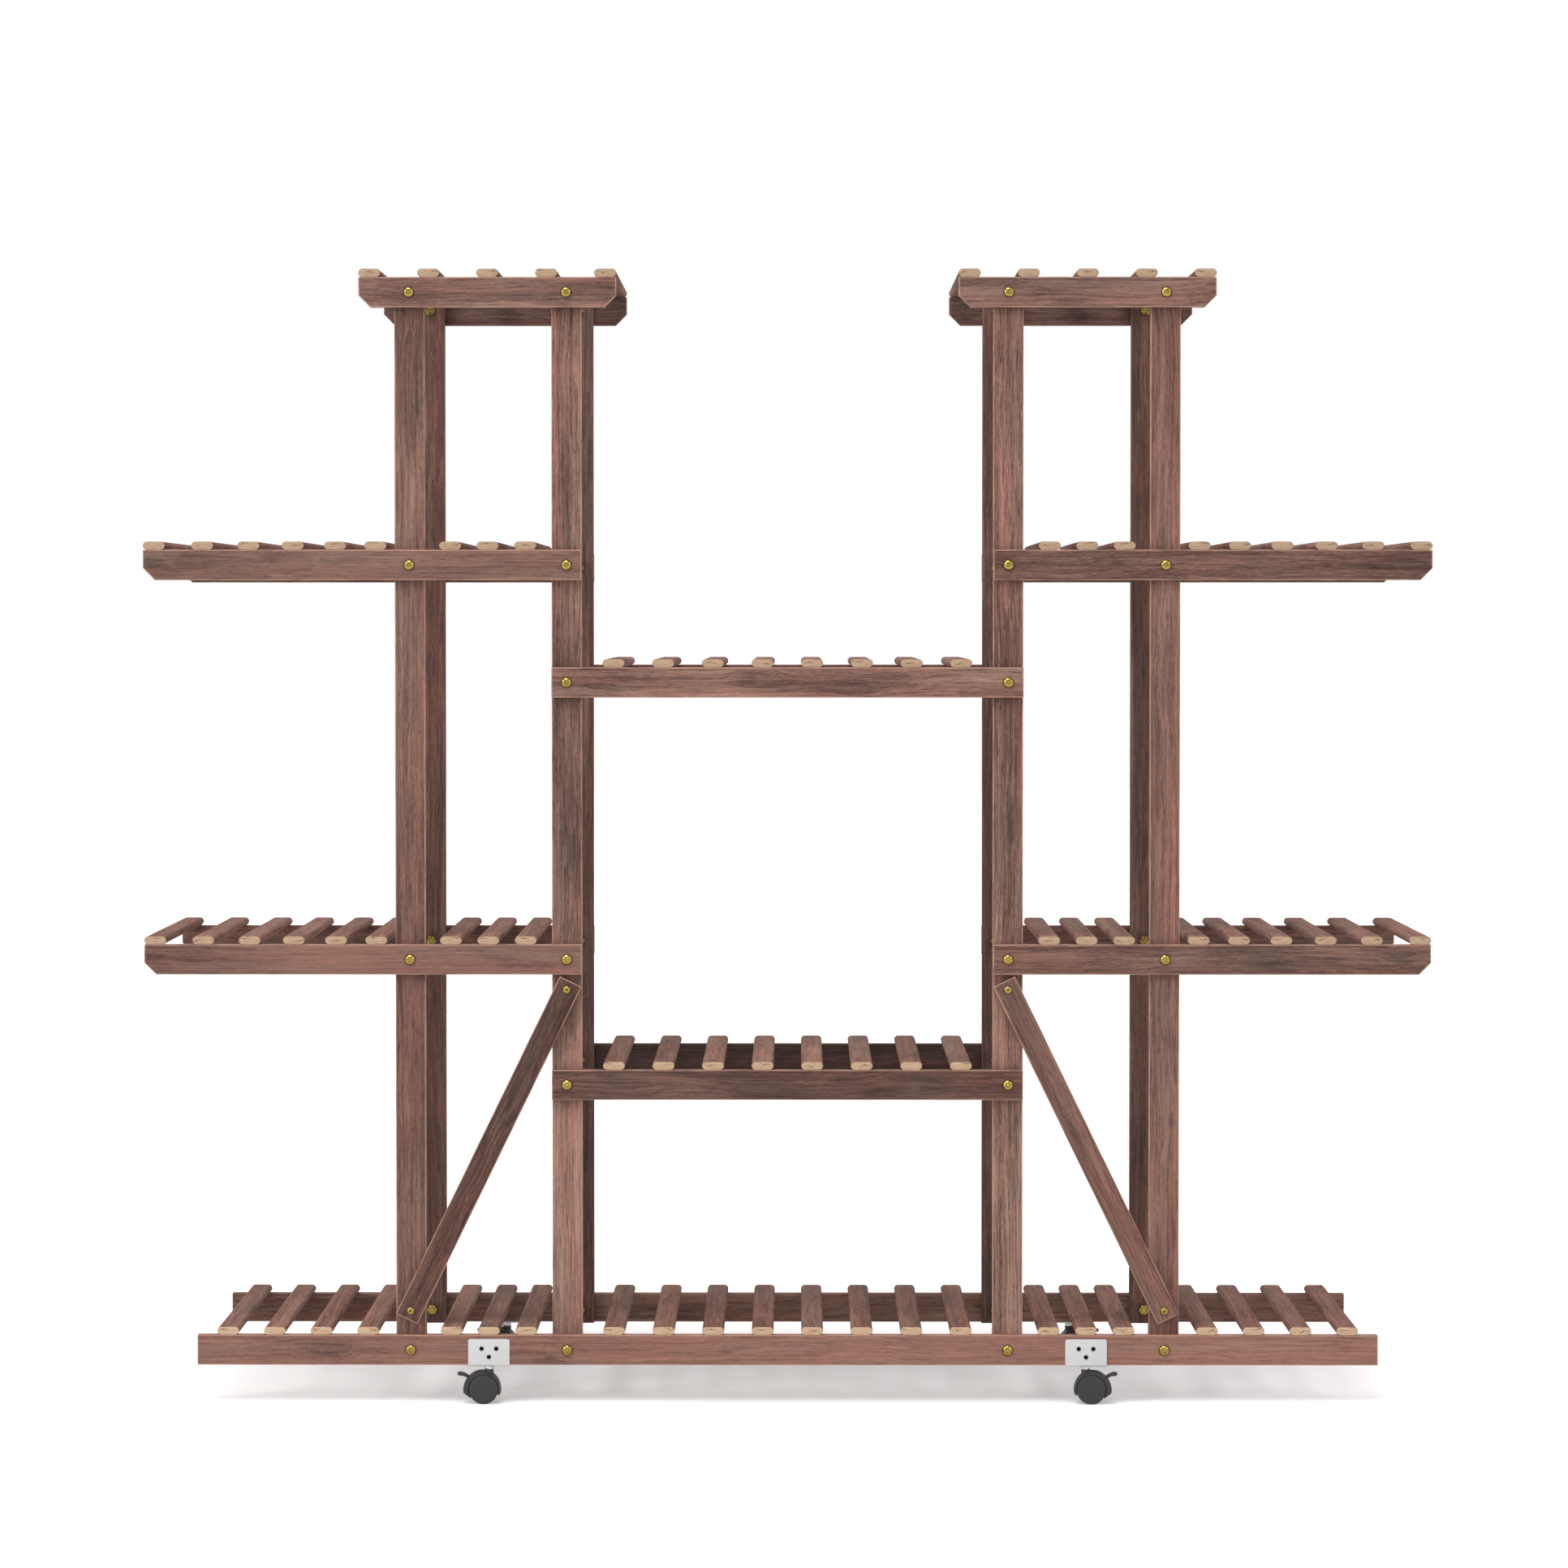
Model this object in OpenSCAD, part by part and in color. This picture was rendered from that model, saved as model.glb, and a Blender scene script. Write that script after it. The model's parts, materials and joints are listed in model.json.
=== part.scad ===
// Slatted wooden plant stand: two towers of flat posts carry nine slatted shelves at six heights,
// and four small braked casters carry the stand. X runs along the stand, Y from front to back,
// Z up, and the origin is on the floor under the middle of the stand.

/* [Stand] */
// Width across the ends of the side shelves
stand_w = 1300; // [1220:10:1500]
// Depth from the front of the front rails to the back of the rear rails
stand_d = 250; // [180:5:350]
// Length of the bottom rails
bottom_rail_l = 1195; // [1150:5:1240]
// Distance from the middle of the stand to the middle of each tower
tower_x = 302.2; // [280:0.2:320]
// Distance between the two posts of a tower, centre to centre
post_spacing = 158.5; // [150:0.5:170]
// Length of the rails of the two top shelves
top_rail_l = 259.6; // [225:0.2:290]

/* [Boards] */
// Thickness of every rail, post and brace
board_t = 8; // [6:0.5:14]
// Height of a rail
rail_h = 30.5; // [26:0.5:36]
// Width of a post
post_w = 30.5; // [24:0.5:36]
// Width of a brace
brace_w = 24.5; // [16:0.5:26]
// Bevel along the long edges of the boards
arris = 0.6; // [0.2:0.1:1.5]
// Corner cut off the free ends of the rails
corner_cut = 12; // [4:0.5:20]

/* [Shelf heights] */
// Rise of the lower middle shelf above the bottom shelf
mid_low_rise = 269; // [200:1:330]
// Rise of the lower side shelves above the bottom shelf
side_low_rise = 396; // [360:1:480]
// Rise of the upper middle shelf above the bottom shelf
mid_high_rise = 676; // [560:1:740]
// Rise of the upper side shelves above the bottom shelf
side_high_rise = 794.5; // [700:0.5:900]
// Rise of the top shelves above the bottom shelf
top_rise = 1069; // [960:1:1200]

/* [Slats] */
// Width of a slat, with its round edges
slat_w = 22.2; // [16:0.2:26]
// Thickness of a slat
slat_t = 8.3; // [6:0.1:12]
// Slats on each top shelf
top_slats = 5; // [3:1:7]
// Slats between the posts of a tower
tower_slats = 3; // [1:1:3]
// Pitch of the slats between the posts of a tower
tower_pitch = 37.8; // [30:0.1:39]
// Slats outside the tower on a side shelf
wing_slats = 6; // [4:1:6]
// Gap from the outer post to the first slat outside it on a side shelf
wing_start = 7.6; // [3:0.1:14]
// First pitch of the slats outside the tower, which then widens evenly to the shelf's end
wing_pitch = 40.7; // [30:0.1:44]
// Slats on each middle shelf, and on the middle of the bottom shelf
mid_slats = 8; // [5:1:8]
// Pitch of the slats on the middle shelves
mid_pitch = 50.1; // [40:0.1:52]
// Slats outside each tower on the bottom shelf
foot_slats = 4; // [2:1:4]
// Gap from the outer post to the first slat outside it on the bottom shelf
foot_start = 16.7; // [6:0.1:22]
// Pitch of the slats outside each tower on the bottom shelf
foot_pitch = 47.3; // [32:0.1:50]

/* [Braces] */
// Drop of a brace's upper screw below the side shelf's rail
brace_drop = 15.4; // [14:0.2:40]
// Rise of a brace's lower screw above the bottom rail
brace_rise = 24.4; // [24:0.2:60]
// Distance from a brace's screw to its end
brace_end = 9.3; // [6:0.1:10.5]

/* [Frame bolts] */
// Diameter of the bolt's shank
bolt_d = 6; // [4:0.5:8]
// Diameter of the bolt's round head
bolt_head_d = 10.8; // [9.5:0.1:14]
// Height of the bolt's head
bolt_head_h = 3; // [2.4:0.1:4]
// Width across the flats of the socket in the bolt's head
bolt_socket_af = 4; // [2:0.5:5]
// Width across the flats of the nut
nut_af = 9.6; // [9:0.2:14]
// Thickness of the nut
nut_t = 5; // [3:0.5:8]
// Bolt's end showing past the nut
bolt_tail = 1.5; // [0.5:0.1:4]
// Radial clearance of a bolt or screw in its hole
hole_clear = 0.2; // [0.1:0.05:0.5]

/* [Screws and nails] */
// Diameter of a brace screw's head
brace_screw_head_d = 8; // [6:0.1:9]
// Height of a brace screw's head
brace_screw_head_h = 2; // [1.4:0.1:2.6]
// Diameter of a brace screw's shank
brace_screw_d = 3.5; // [2.5:0.1:4]
// Diameter of a bracket screw's head
bracket_screw_head_d = 4.4; // [4:0.1:5.5]
// Height of a bracket screw's head
bracket_screw_head_h = 1; // [0.6:0.1:1.6]
// Diameter of a bracket screw's shank
bracket_screw_d = 2.6; // [2:0.1:3]
// Wood left in front of a screw's point
screw_point = 1.2; // [0.6:0.1:2]
// Diameter of the nails that hold the slats
nail_d = 1.4; // [1:0.1:2]
// Length of a slat nail
nail_l = 22; // [15:0.5:26]
// Depth of a slat nail's head under the slat's face
nail_set = 0.4; // [0.2:0.1:1]

/* [Brackets] */
// Width of a caster bracket
bracket_w = 42; // [34:0.5:60]
// Height of a caster bracket on the rail's face
bracket_h = 27.6; // [22:0.2:29]
// Thickness of the bracket's sheet
bracket_t = 1.2; // [0.8:0.1:2]
// Radius of the bracket's upper corners
bracket_corner = 2.2; // [0.5:0.1:4]
// Sideways distance of the two upper screws from the bracket's middle
bracket_screw_x = 7.4; // [6:0.1:12]
// Distance of the screws above and below the bracket's middle
bracket_screw_z = 4.2; // [3:0.1:6]

/* [Casters] */
// Height from the floor to the underside of the bracket
caster_h = 37.7; // [37.2:0.1:46]
// Diameter of a wheel
wheel_d = 29.6; // [26:0.2:29.8]
// Width of each of a caster's two wheels
wheel_w = 6.2; // [4:0.1:8]
// Bevel around a wheel's edge
wheel_bevel = 0.7; // [0.3:0.1:1.2]
// Skin left over the outer end of a wheel's bore
wheel_skin = 1.2; // [0.8:0.1:2]
// Trail of the wheel's axle from the stem
trail = 5.2; // [4:0.1:6]
// Side gap between a wheel and the web of the hood
wheel_gap = 0.3; // [0.2:0.05:0.6]
// Diameter of the axle
axle_d = 3; // [2:0.1:4]
// Radial running clearance of the axle, the stem and the lever's pivot
run_clear = 0.06; // [0.02:0.01:0.1]
// Thickness of the hood's middle web
web_t = 7; // [6.6:0.1:9]
// Radius of the hood at its middle
hood_r = 19.2; // [19:0.1:20]
// Loss of the crowned hood's radius at its two faces
hood_crown = 1; // [0.6:0.1:1.2]
// Offset of the hood's centre past the wheel's axle
hood_shift = 2; // [1.6:0.1:2.2]
// Drop of the hood's centre below the wheel's axle
hood_drop = 1.1; // [0.4:0.1:1.6]
// Gap between a wheel's tread and the hood
hood_gap = 0.5; // [0.3:0.05:0.8]
// Height of the hood's lowest edge above the floor
hood_floor = 6.5; // [5:0.1:9]
// Height of the hood's inner end above the floor
hood_end_z = 9.3; // [7:0.1:12]
// Slope of the hood's cut outer skirt, in degrees
skirt_slope = 36.7; // [30:0.1:42]
// Diameter of the hood's neck
neck_d = 8.7; // [7:0.1:10]
// Diameter of the stem's collar
collar_d = 9.4; // [8:0.1:11]
// Height of the stem's collar
collar_h = 3.2; // [2.5:0.1:4]
// Diameter of the stem's pin in the hood
stem_pin_d = 4; // [3:0.1:4.6]
// Length of the stem's pin in the hood
stem_pin_l = 12; // [9:0.5:13]
// Diameter of the stem's threaded end in the rail
stem_thread_d = 5; // [4:0.1:5.6]
// Wood between the end of the stem's hole and the lowest bracket screw
stem_wood = 0.7; // [0.4:0.1:2]

/* [Brake levers] */
// Width of a brake lever
lever_w = 10; // [8:0.1:12]
// Half thickness of the lever's arm
lever_arm_r = 1.35; // [1.2:0.05:1.5]
// Length of the lever's arm from its pivot
lever_arm_l = 6.8; // [6:0.1:8]
// Half thickness of the lever's paddle
lever_paddle_r = 1.75; // [1.6:0.05:2.1]
// Length of the lever's paddle
lever_paddle_l = 5.6; // [4.5:0.1:8]
// Diameter of the lever's pivot pins
lever_pin_d = 2; // [1.6:0.1:2.2]
// Length of each of the lever's pivot pins
lever_pin_l = 2.4; // [1.6:0.1:2.8]
// Travel of the lever from free to braked, in degrees
lever_travel = 28; // [15:1:28]

/* [Hidden] */
$fn = 48;
base_z = caster_h + bracket_t;
post_top = base_z + top_rise + rail_h;
outer_post_x = tower_x + post_spacing / 2;
inner_post_x = tower_x - post_spacing / 2;
side_rail_in = inner_post_x - post_w / 2;
mid_rail_half = inner_post_x + post_w / 2;
wing_first = outer_post_x + post_w / 2 + wing_start + slat_w / 2;
wing_last = stand_w / 2 - slat_w / 2;
wing_growth = (wing_last - wing_first - (wing_slats - 1) * wing_pitch)
    / ((wing_slats - 1) * (wing_slats - 2) / 2);
foot_first = outer_post_x + post_w / 2 + foot_start + slat_w / 2;
top_pitch = (top_rail_l - slat_w) / (top_slats - 1);
rail_mid_y = stand_d / 2 - board_t / 2;

brace_hi = [inner_post_x, base_z + side_low_rise - brace_drop];
brace_lo = [outer_post_x, base_z + rail_h + brace_rise];
brace_run = norm(brace_hi - brace_lo);
brace_tilt = atan2(brace_lo[0] - brace_hi[0], brace_hi[1] - brace_lo[1]);

bracket_mid_z = caster_h + bracket_h / 2;
bracket_screws = [[-bracket_screw_x, bracket_screw_z], [bracket_screw_x, bracket_screw_z],
    [0, -bracket_screw_z]];

stem_hole_top = bracket_mid_z - bracket_screw_z - bracket_screw_d / 2 - stem_wood;
stem_top = stem_hole_top - 0.5;
neck_top = caster_h - collar_h;
wheel_r = wheel_d / 2;
wheel_in = web_t / 2 + wheel_gap;
wheel_out = wheel_in + wheel_w;
hood_half = wheel_out - wheel_gap;
hood_c = [trail + hood_shift, wheel_r - hood_drop];
hood_arc = (hood_half ^ 2 + hood_crown ^ 2) / (2 * hood_crown);
pocket_r = wheel_r + hood_gap;
skirt_dir = [cos(skirt_slope), sin(skirt_slope)];
skirt_foot = [trail + wheel_r * sin(skirt_slope), wheel_r - wheel_r * cos(skirt_slope)];

lever_aim = 36;
lever_arm_rise = 32;
lever_paddle_rise = 10;
lever_wall_r = hood_r - hood_crown / 2 + hood_shift * cos(lever_aim) - hood_drop * sin(lever_aim);
lever_pivot_r = (pocket_r + lever_wall_r) / 2;
lever_pivot = [trail + lever_pivot_r * cos(lever_aim), wheel_r + lever_pivot_r * sin(lever_aim)];
lever_elbow = lever_pivot + lever_arm_l * [cos(lever_arm_rise), sin(lever_arm_rise)];
lever_tip = lever_elbow + lever_paddle_l * [cos(lever_paddle_rise), sin(lever_paddle_rise)];
cam_r = 0.5;
brake_gap = 0.3;
cam_reach = lever_pivot_r - wheel_r - cam_r - brake_gap;
cam_angle = lever_aim + 180 + 10 + lever_travel;
slot_clear = 0.4;
past = 1;

wood = "#7d5a4f";
wood_dark = "#6a4a41";
end_grain = "#8a675a";
brass = "#a8953a";
sheet_grey = "#d2d2d2";
plastic = "#3a3a3a";
plastic_face = "#464646";

sides = [["left", -1], ["right", 1]];
ends = [["front", -1], ["rear", 1]];
corners = [["front_left", -1, -1], ["front_right", 1, -1], ["rear_left", -1, 1], ["rear_right", 1, 1]];

// Slat places along X, one list for each kind of shelf
function spread(n, pitch) = [for (i = [0 : n - 1]) (i - (n - 1) / 2) * pitch];
tower_row = [for (x = spread(tower_slats, tower_pitch)) tower_x + x];
top_row = [for (x = spread(top_slats, top_pitch)) tower_x + x];
wing_row = [for (i = [0 : wing_slats - 1]) wing_first + i * wing_pitch + wing_growth * i * (i - 1) / 2];
foot_row = [for (i = [0 : foot_slats - 1]) foot_first + i * foot_pitch];
mid_row = spread(mid_slats, mid_pitch);
side_row = concat(tower_row, wing_row);
bottom_side_row = concat(tower_row, foot_row);
bottom_row = concat(mid_row, bottom_side_row, -bottom_side_row);

// Every bolt: [x, height of the rail's underside above the bottom rail's underside]
bolt_places = [
    for (s = [-1, 1])
        each concat(
            [for (rise = [0, side_low_rise, side_high_rise, top_rise]) [s * outer_post_x, rise]],
            [for (rise = [0, mid_low_rise, side_low_rise, mid_high_rise, side_high_rise, top_rise])
                [s * inner_post_x, rise]])
];

// Flat board along X with bevelled long edges, its underside at z = 0 and its outer face at y = 0
module board_x(x0, x1, h) {
    translate([x0, 0, 0])
        rotate([90, 0, 90])
            linear_extrude(x1 - x0)
                board_section(board_t, h);
}

// Section of a board with four small bevels
module board_section(t, h) {
    polygon([[arris, 0], [t - arris, 0], [t, arris], [t, h - arris],
        [t - arris, h], [arris, h], [0, h - arris], [0, arris]]);
}

// Puts a board that was drawn for the front into the front or the rear of the stand
module at_end(end) {
    if (end < 0) translate([0, -stand_d / 2, 0]) children();
    else mirror([0, 1, 0]) translate([0, -stand_d / 2, 0]) children();
}

// Round hole along Y through everything that starts at the outer face
module cross_hole(x, z, d) {
    translate([x, -past, z])
        rotate([-90, 0, 0])
            cylinder(h = 2 * (board_t + past), d = d);
}

// Corner cut off the lower end of a rail at x, on the side that dir gives
module lower_corner(x, dir) {
    translate([x, -past, 0])
        rotate([-90, 0, 0])
            linear_extrude(board_t + 2 * past)
                polygon([[dir * past, past], [dir * past, -corner_cut - past], [0, -corner_cut],
                    [-dir * corner_cut, 0], [-dir * (corner_cut + past), past]]);
}

// Rail with its bolt holes; cuts lists the ends whose lower corner is cut off, as -1 and 1
module rail(x0, x1, rise, end, posts, cuts) {
    color(wood)
        at_end(end)
            translate([0, 0, base_z + rise])
                difference() {
                    board_x(x0, x1, rail_h);
                    for (x = posts) cross_hole(x, rail_h / 2, bolt_d + 2 * hole_clear);
                    for (dir = cuts) lower_corner(dir < 0 ? x0 : x1, dir);
                }
}

module bottom_rail(end) {
    color(wood)
        difference() {
            rail(-bottom_rail_l / 2, bottom_rail_l / 2, 0, end,
                [-outer_post_x, -inner_post_x, inner_post_x, outer_post_x], []);
            for (s = [-1, 1])
                translate([s * tower_x, end * rail_mid_y, base_z - past])
                    cylinder(h = stem_hole_top - base_z + past, d = stem_thread_d + 2 * hole_clear);
        }
}

module mid_rail(rise, end) {
    rail(-mid_rail_half, mid_rail_half, rise, end, [-inner_post_x, inner_post_x], []);
}

module side_rail(side, rise, end) {
    x0 = side < 0 ? -stand_w / 2 : side_rail_in;
    x1 = side < 0 ? -side_rail_in : stand_w / 2;
    rail(x0, x1, rise, end, [side * inner_post_x, side * outer_post_x], [side]);
}

module top_rail(side, end) {
    rail(side * tower_x - top_rail_l / 2, side * tower_x + top_rail_l / 2, top_rise, end,
        [side * inner_post_x, side * outer_post_x], [-1, 1]);
}

// Upright post behind the rails, from the bottom rail's underside to the top rail's top edge
module post(x, end) {
    rises = abs(x) > tower_x
        ? [0, side_low_rise, side_high_rise, top_rise]
        : [0, mid_low_rise, side_low_rise, mid_high_rise, side_high_rise, top_rise];
    color(wood_dark)
        at_end(end)
            difference() {
                translate([x + post_w / 2, board_t, base_z])
                    rotate([0, 0, 90])
                        linear_extrude(post_top - base_z)
                            board_section(board_t, post_w);
                for (rise = rises)
                    cross_hole(x, base_z + rise + rail_h / 2, bolt_d + 2 * hole_clear);
            }
}

// Slats with round long edges, resting on the rails at the given rise
module slats(row, rise) {
    color(end_grain)
        for (x = row)
            translate([x, stand_d / 2, base_z + rise + rail_h + slat_t / 2])
                rotate([90, 0, 0])
                    linear_extrude(stand_d)
                        union() {
                            square([slat_w - slat_t, slat_t], center = true);
                            for (s = [-1, 1])
                                translate([s * (slat_w - slat_t) / 2, 0])
                                    circle(d = slat_t);
                        }
}

// Front brace from the inner post under the side shelf to the foot of the outer post
module brace(side) {
    color(wood_dark)
        at_end(-1)
            difference() {
                translate([side * brace_lo[0], 0, brace_lo[1]])
                    rotate([0, -side * brace_tilt, 0])
                        translate([brace_w / 2, 0, -brace_end])
                            rotate([0, 0, 90])
                                linear_extrude(brace_run + 2 * brace_end)
                                    board_section(board_t, brace_w);
                for (p = [brace_lo, brace_hi])
                    translate([side * p[0], -past, p[1]])
                        rotate([-90, 0, 0])
                            cylinder(h = board_t + 2 * past, d = brace_screw_d + 2 * hole_clear);
            }
}

// Bolt along Y with its head on the rail's outer face and a hexagon socket in the head
module bolt() {
    rotate([-90, 0, 0])
        difference() {
            union() {
                cylinder(h = 2 * board_t + nut_t + bolt_tail, d = bolt_d);
                translate([0, 0, -bolt_head_h / 2]) cylinder(h = bolt_head_h / 2, d = bolt_head_d);
                translate([0, 0, -bolt_head_h])
                    cylinder(h = bolt_head_h / 2, d1 = bolt_head_d * 0.72, d2 = bolt_head_d);
            }
            translate([0, 0, -bolt_head_h - past])
                cylinder(h = bolt_head_h * 0.7 + past, d = bolt_socket_af / cos(30), $fn = 6);
        }
}

module nut() {
    translate([0, 2 * board_t, 0])
        rotate([-90, 0, 0])
            difference() {
                cylinder(h = nut_t, d = nut_af / cos(30), $fn = 6);
                translate([0, 0, -past]) cylinder(h = nut_t + 2 * past, d = bolt_d + 2 * run_clear);
            }
}

module at_bolts() {
    for (end = [-1, 1])
        for (p = bolt_places)
            at_end(end)
                translate([p[0], 0, base_z + p[1] + rail_h / 2])
                    children();
}

module frame_bolts() {
    color(brass) at_bolts() bolt();
}

module frame_nuts() {
    color(brass) at_bolts() nut();
}

// Screw along Y with a low round head and a cross recess
module screw(head_d, head_h, shank_d, grip) {
    recess = head_d * 0.5;
    rotate([-90, 0, 0])
        difference() {
            union() {
                cylinder(h = grip, d = shank_d);
                translate([0, 0, -head_h / 2]) cylinder(h = head_h / 2, d = head_d);
                translate([0, 0, -head_h]) cylinder(h = head_h / 2, d1 = head_d * 0.7, d2 = head_d);
            }
            for (turn = [0, 90])
                rotate([0, 0, turn])
                    translate([-recess / 2, -recess / 8, -head_h - past])
                        cube([recess, recess / 4, head_h * 0.6 + past]);
        }
}

module brace_screws() {
    color(brass)
        for (side = [-1, 1])
            for (p = [brace_lo, brace_hi])
                at_end(-1)
                    translate([side * p[0], 0, p[1]])
                        screw(brace_screw_head_d, brace_screw_head_h, brace_screw_d,
                            2 * board_t - screw_point);
}

// Nails through every slat into both of its rails
module nail_row(row, rise) {
    for (x = row)
        for (end = [-1, 1])
            translate([x, end * rail_mid_y, base_z + rise + rail_h + slat_t - nail_set - nail_l])
                cylinder(h = nail_l, d = nail_d);
}

module slat_nails() {
    color("silver") {
        nail_row(bottom_row, 0);
        nail_row(mid_row, mid_low_rise);
        nail_row(mid_row, mid_high_rise);
        for (side = [-1, 1]) {
            nail_row(side * side_row, side_low_rise);
            nail_row(side * side_row, side_high_rise);
            nail_row(side * top_row, top_rise);
        }
    }
}

// Bent sheet: a plate on the rail's face and a lip under the rail that holds the stem
module bracket(x, end) {
    at_end(end)
        translate([x, -bracket_t, caster_h])
            difference() {
                union() {
                    translate([-bracket_w / 2, 0, 0])
                        cube([bracket_w, bracket_t, bracket_h - bracket_corner]);
                    translate([-bracket_w / 2 + bracket_corner, 0, 0])
                        cube([bracket_w - 2 * bracket_corner, bracket_t, bracket_h]);
                    for (s = [-1, 1])
                        translate([s * (bracket_w / 2 - bracket_corner), 0, bracket_h - bracket_corner])
                            rotate([-90, 0, 0])
                                cylinder(h = bracket_t, r = bracket_corner);
                    translate([-bracket_w / 2, 0, 0])
                        cube([bracket_w, bracket_t + board_t, bracket_t]);
                }
                for (p = bracket_screws)
                    translate([p[0], -past, bracket_h / 2 + p[1]])
                        rotate([-90, 0, 0])
                            cylinder(h = bracket_t + 2 * past, d = bracket_screw_d + 2 * hole_clear);
                translate([0, bracket_t + board_t / 2, -past])
                    cylinder(h = bracket_t + 2 * past, d = stem_thread_d + 2 * hole_clear);
            }
}

module caster_brackets() {
    color(sheet_grey)
        for (c = corners) bracket(c[1] * tower_x, c[2]);
}

module bracket_screws() {
    color("#202020")
        for (c = corners)
            for (p = bracket_screws)
                at_end(c[2])
                    translate([c[1] * tower_x + p[0], -bracket_t, bracket_mid_z + p[1]])
                        screw(bracket_screw_head_d, bracket_screw_head_h, bracket_screw_d,
                            bracket_t + board_t - screw_point);
}

// Stem: a threaded end in the rail, a collar under the bracket and a pin that the hood turns on
module stem() {
    translate([0, 0, neck_top]) cylinder(h = collar_h, d = collar_d);
    translate([0, 0, neck_top - stem_pin_l]) cylinder(h = stem_pin_l + 0.5, d = stem_pin_d);
    translate([0, 0, caster_h - 0.5]) cylinder(h = stem_top - caster_h + 0.5, d = stem_thread_d);
}

module caster_stems() {
    color("#c8c8c8")
        for (c = corners)
            translate([c[1] * tower_x, c[2] * rail_mid_y, 0])
                stem();
}

// Draws a caster's piece at its corner, its lever side away from the middle of the stand
module at_caster(side, end) {
    translate([side * tower_x, end * rail_mid_y, 0])
        if (side > 0) children();
        else mirror([1, 0, 0]) children();
}

// Extrudes a profile drawn in X and Z to both sides of the caster's middle plane
module across(half) {
    translate([0, half, 0])
        rotate([90, 0, 0])
            linear_extrude(2 * half)
                children();
}

// Straight bar with round ends between two points
module bar(p, q, r) {
    translate(p)
        rotate(atan2(q[1] - p[1], q[0] - p[0]))
            translate([0, -r])
                square([norm(q - p), 2 * r]);
    translate(p) circle(r = r);
    translate(q) circle(r = r);
}

// Turns a profile about the lever's pivot by a part of the lever's travel
module lever_turned(part) {
    translate(lever_pivot)
        rotate(-part * lever_travel)
            translate(-lever_pivot)
                children();
}

// Side view of the hood: a disc with its outer skirt, its foot and its inner end cut off
module hood_profile() {
    below = 40;
    difference() {
        translate(hood_c) circle(r = hood_r + past);
        polygon([skirt_foot, skirt_foot + below * skirt_dir, skirt_foot + [below, -below],
            skirt_foot - [0, below]]);
        translate([-below, -below]) square([2 * below, below + hood_floor]);
        translate([-below, -below]) square([below + trail - wheel_r * 0.7, below + hood_end_z]);
    }
}

// Turned body that crowns the hood: its radius falls off along an arc towards both faces
module hood_crowned() {
    translate([hood_c[0], 0, hood_c[1]])
        rotate([90, 0, 0])
            rotate_extrude()
                intersection() {
                    translate([hood_r - hood_arc, 0]) circle(r = hood_arc);
                    translate([0, -hood_half]) square([hood_r + past, 2 * hood_half]);
                }
}

module hood(side, end) {
    color(plastic)
        at_caster(side, end)
            difference() {
                union() {
                    intersection() {
                        across(hood_half + past) hood_profile();
                        hood_crowned();
                    }
                    translate([0, 0, wheel_r]) cylinder(h = neck_top - wheel_r, d = neck_d);
                }
                for (s = [-1, 1])
                    translate([trail, s * (web_t / 2 + hood_half + past) / 2, wheel_r])
                        rotate([90, 0, 0])
                            cylinder(h = hood_half - web_t / 2 + past, r = pocket_r, center = true);
                translate([trail, 0, wheel_r])
                    rotate([90, 0, 0])
                        cylinder(h = web_t + 2 * past, d = axle_d + 2 * run_clear, center = true);
                translate([0, 0, neck_top - stem_pin_l - 0.5])
                    cylinder(h = stem_pin_l + 1.5, d = stem_pin_d + 2 * run_clear);
                across(lever_w / 2 + slot_clear) {
                    translate(lever_pivot) circle(r = cam_reach + cam_r + slot_clear);
                    for (part = [0, 0.5, 1])
                        lever_turned(part)
                            bar(lever_pivot, lever_elbow, lever_arm_r + slot_clear);
                }
                translate([lever_pivot[0], 0, lever_pivot[1]])
                    rotate([90, 0, 0])
                        cylinder(h = lever_w + 2 * lever_pin_l + 2 * slot_clear,
                            d = lever_pin_d + 2 * run_clear, center = true);
            }
}

// Two wheels on one axle, each with a blind bore that opens towards the web
module wheels(side, end) {
    axle_r = axle_d / 2 + 0.02;
    color(plastic_face)
        at_caster(side, end)
            for (s = [-1, 1])
                translate([trail, s * wheel_in, wheel_r])
                    rotate([-s * 90, 0, 0])
                        rotate_extrude()
                            polygon([[axle_r, 0], [wheel_r - wheel_bevel, 0], [wheel_r, wheel_bevel],
                                [wheel_r, wheel_w - wheel_bevel], [wheel_r - wheel_bevel, wheel_w],
                                [0, wheel_w], [0, wheel_w - wheel_skin], [axle_r, wheel_w - wheel_skin]]);
}

module axle(side, end) {
    color("silver")
        at_caster(side, end)
            translate([trail, 0, wheel_r])
                rotate([90, 0, 0])
                    cylinder(h = 2 * (wheel_out - wheel_skin) - 0.1, d = axle_d, center = true);
}

// Brake lever with its paddle, its cam nose over the wheels and its two pivot pins
module lever(side, end) {
    nose = lever_pivot + cam_reach * [cos(cam_angle), sin(cam_angle)];
    color(plastic)
        at_caster(side, end)
            union() {
                across(lever_w / 2) {
                    bar(lever_pivot, lever_elbow, lever_arm_r);
                    bar(lever_elbow, lever_tip, lever_paddle_r);
                    bar(lever_pivot, nose, cam_r);
                }
                translate([lever_pivot[0], 0, lever_pivot[1]])
                    rotate([90, 0, 0])
                        cylinder(h = lever_w + 2 * lever_pin_l, d = lever_pin_d, center = true);
            }
}

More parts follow.
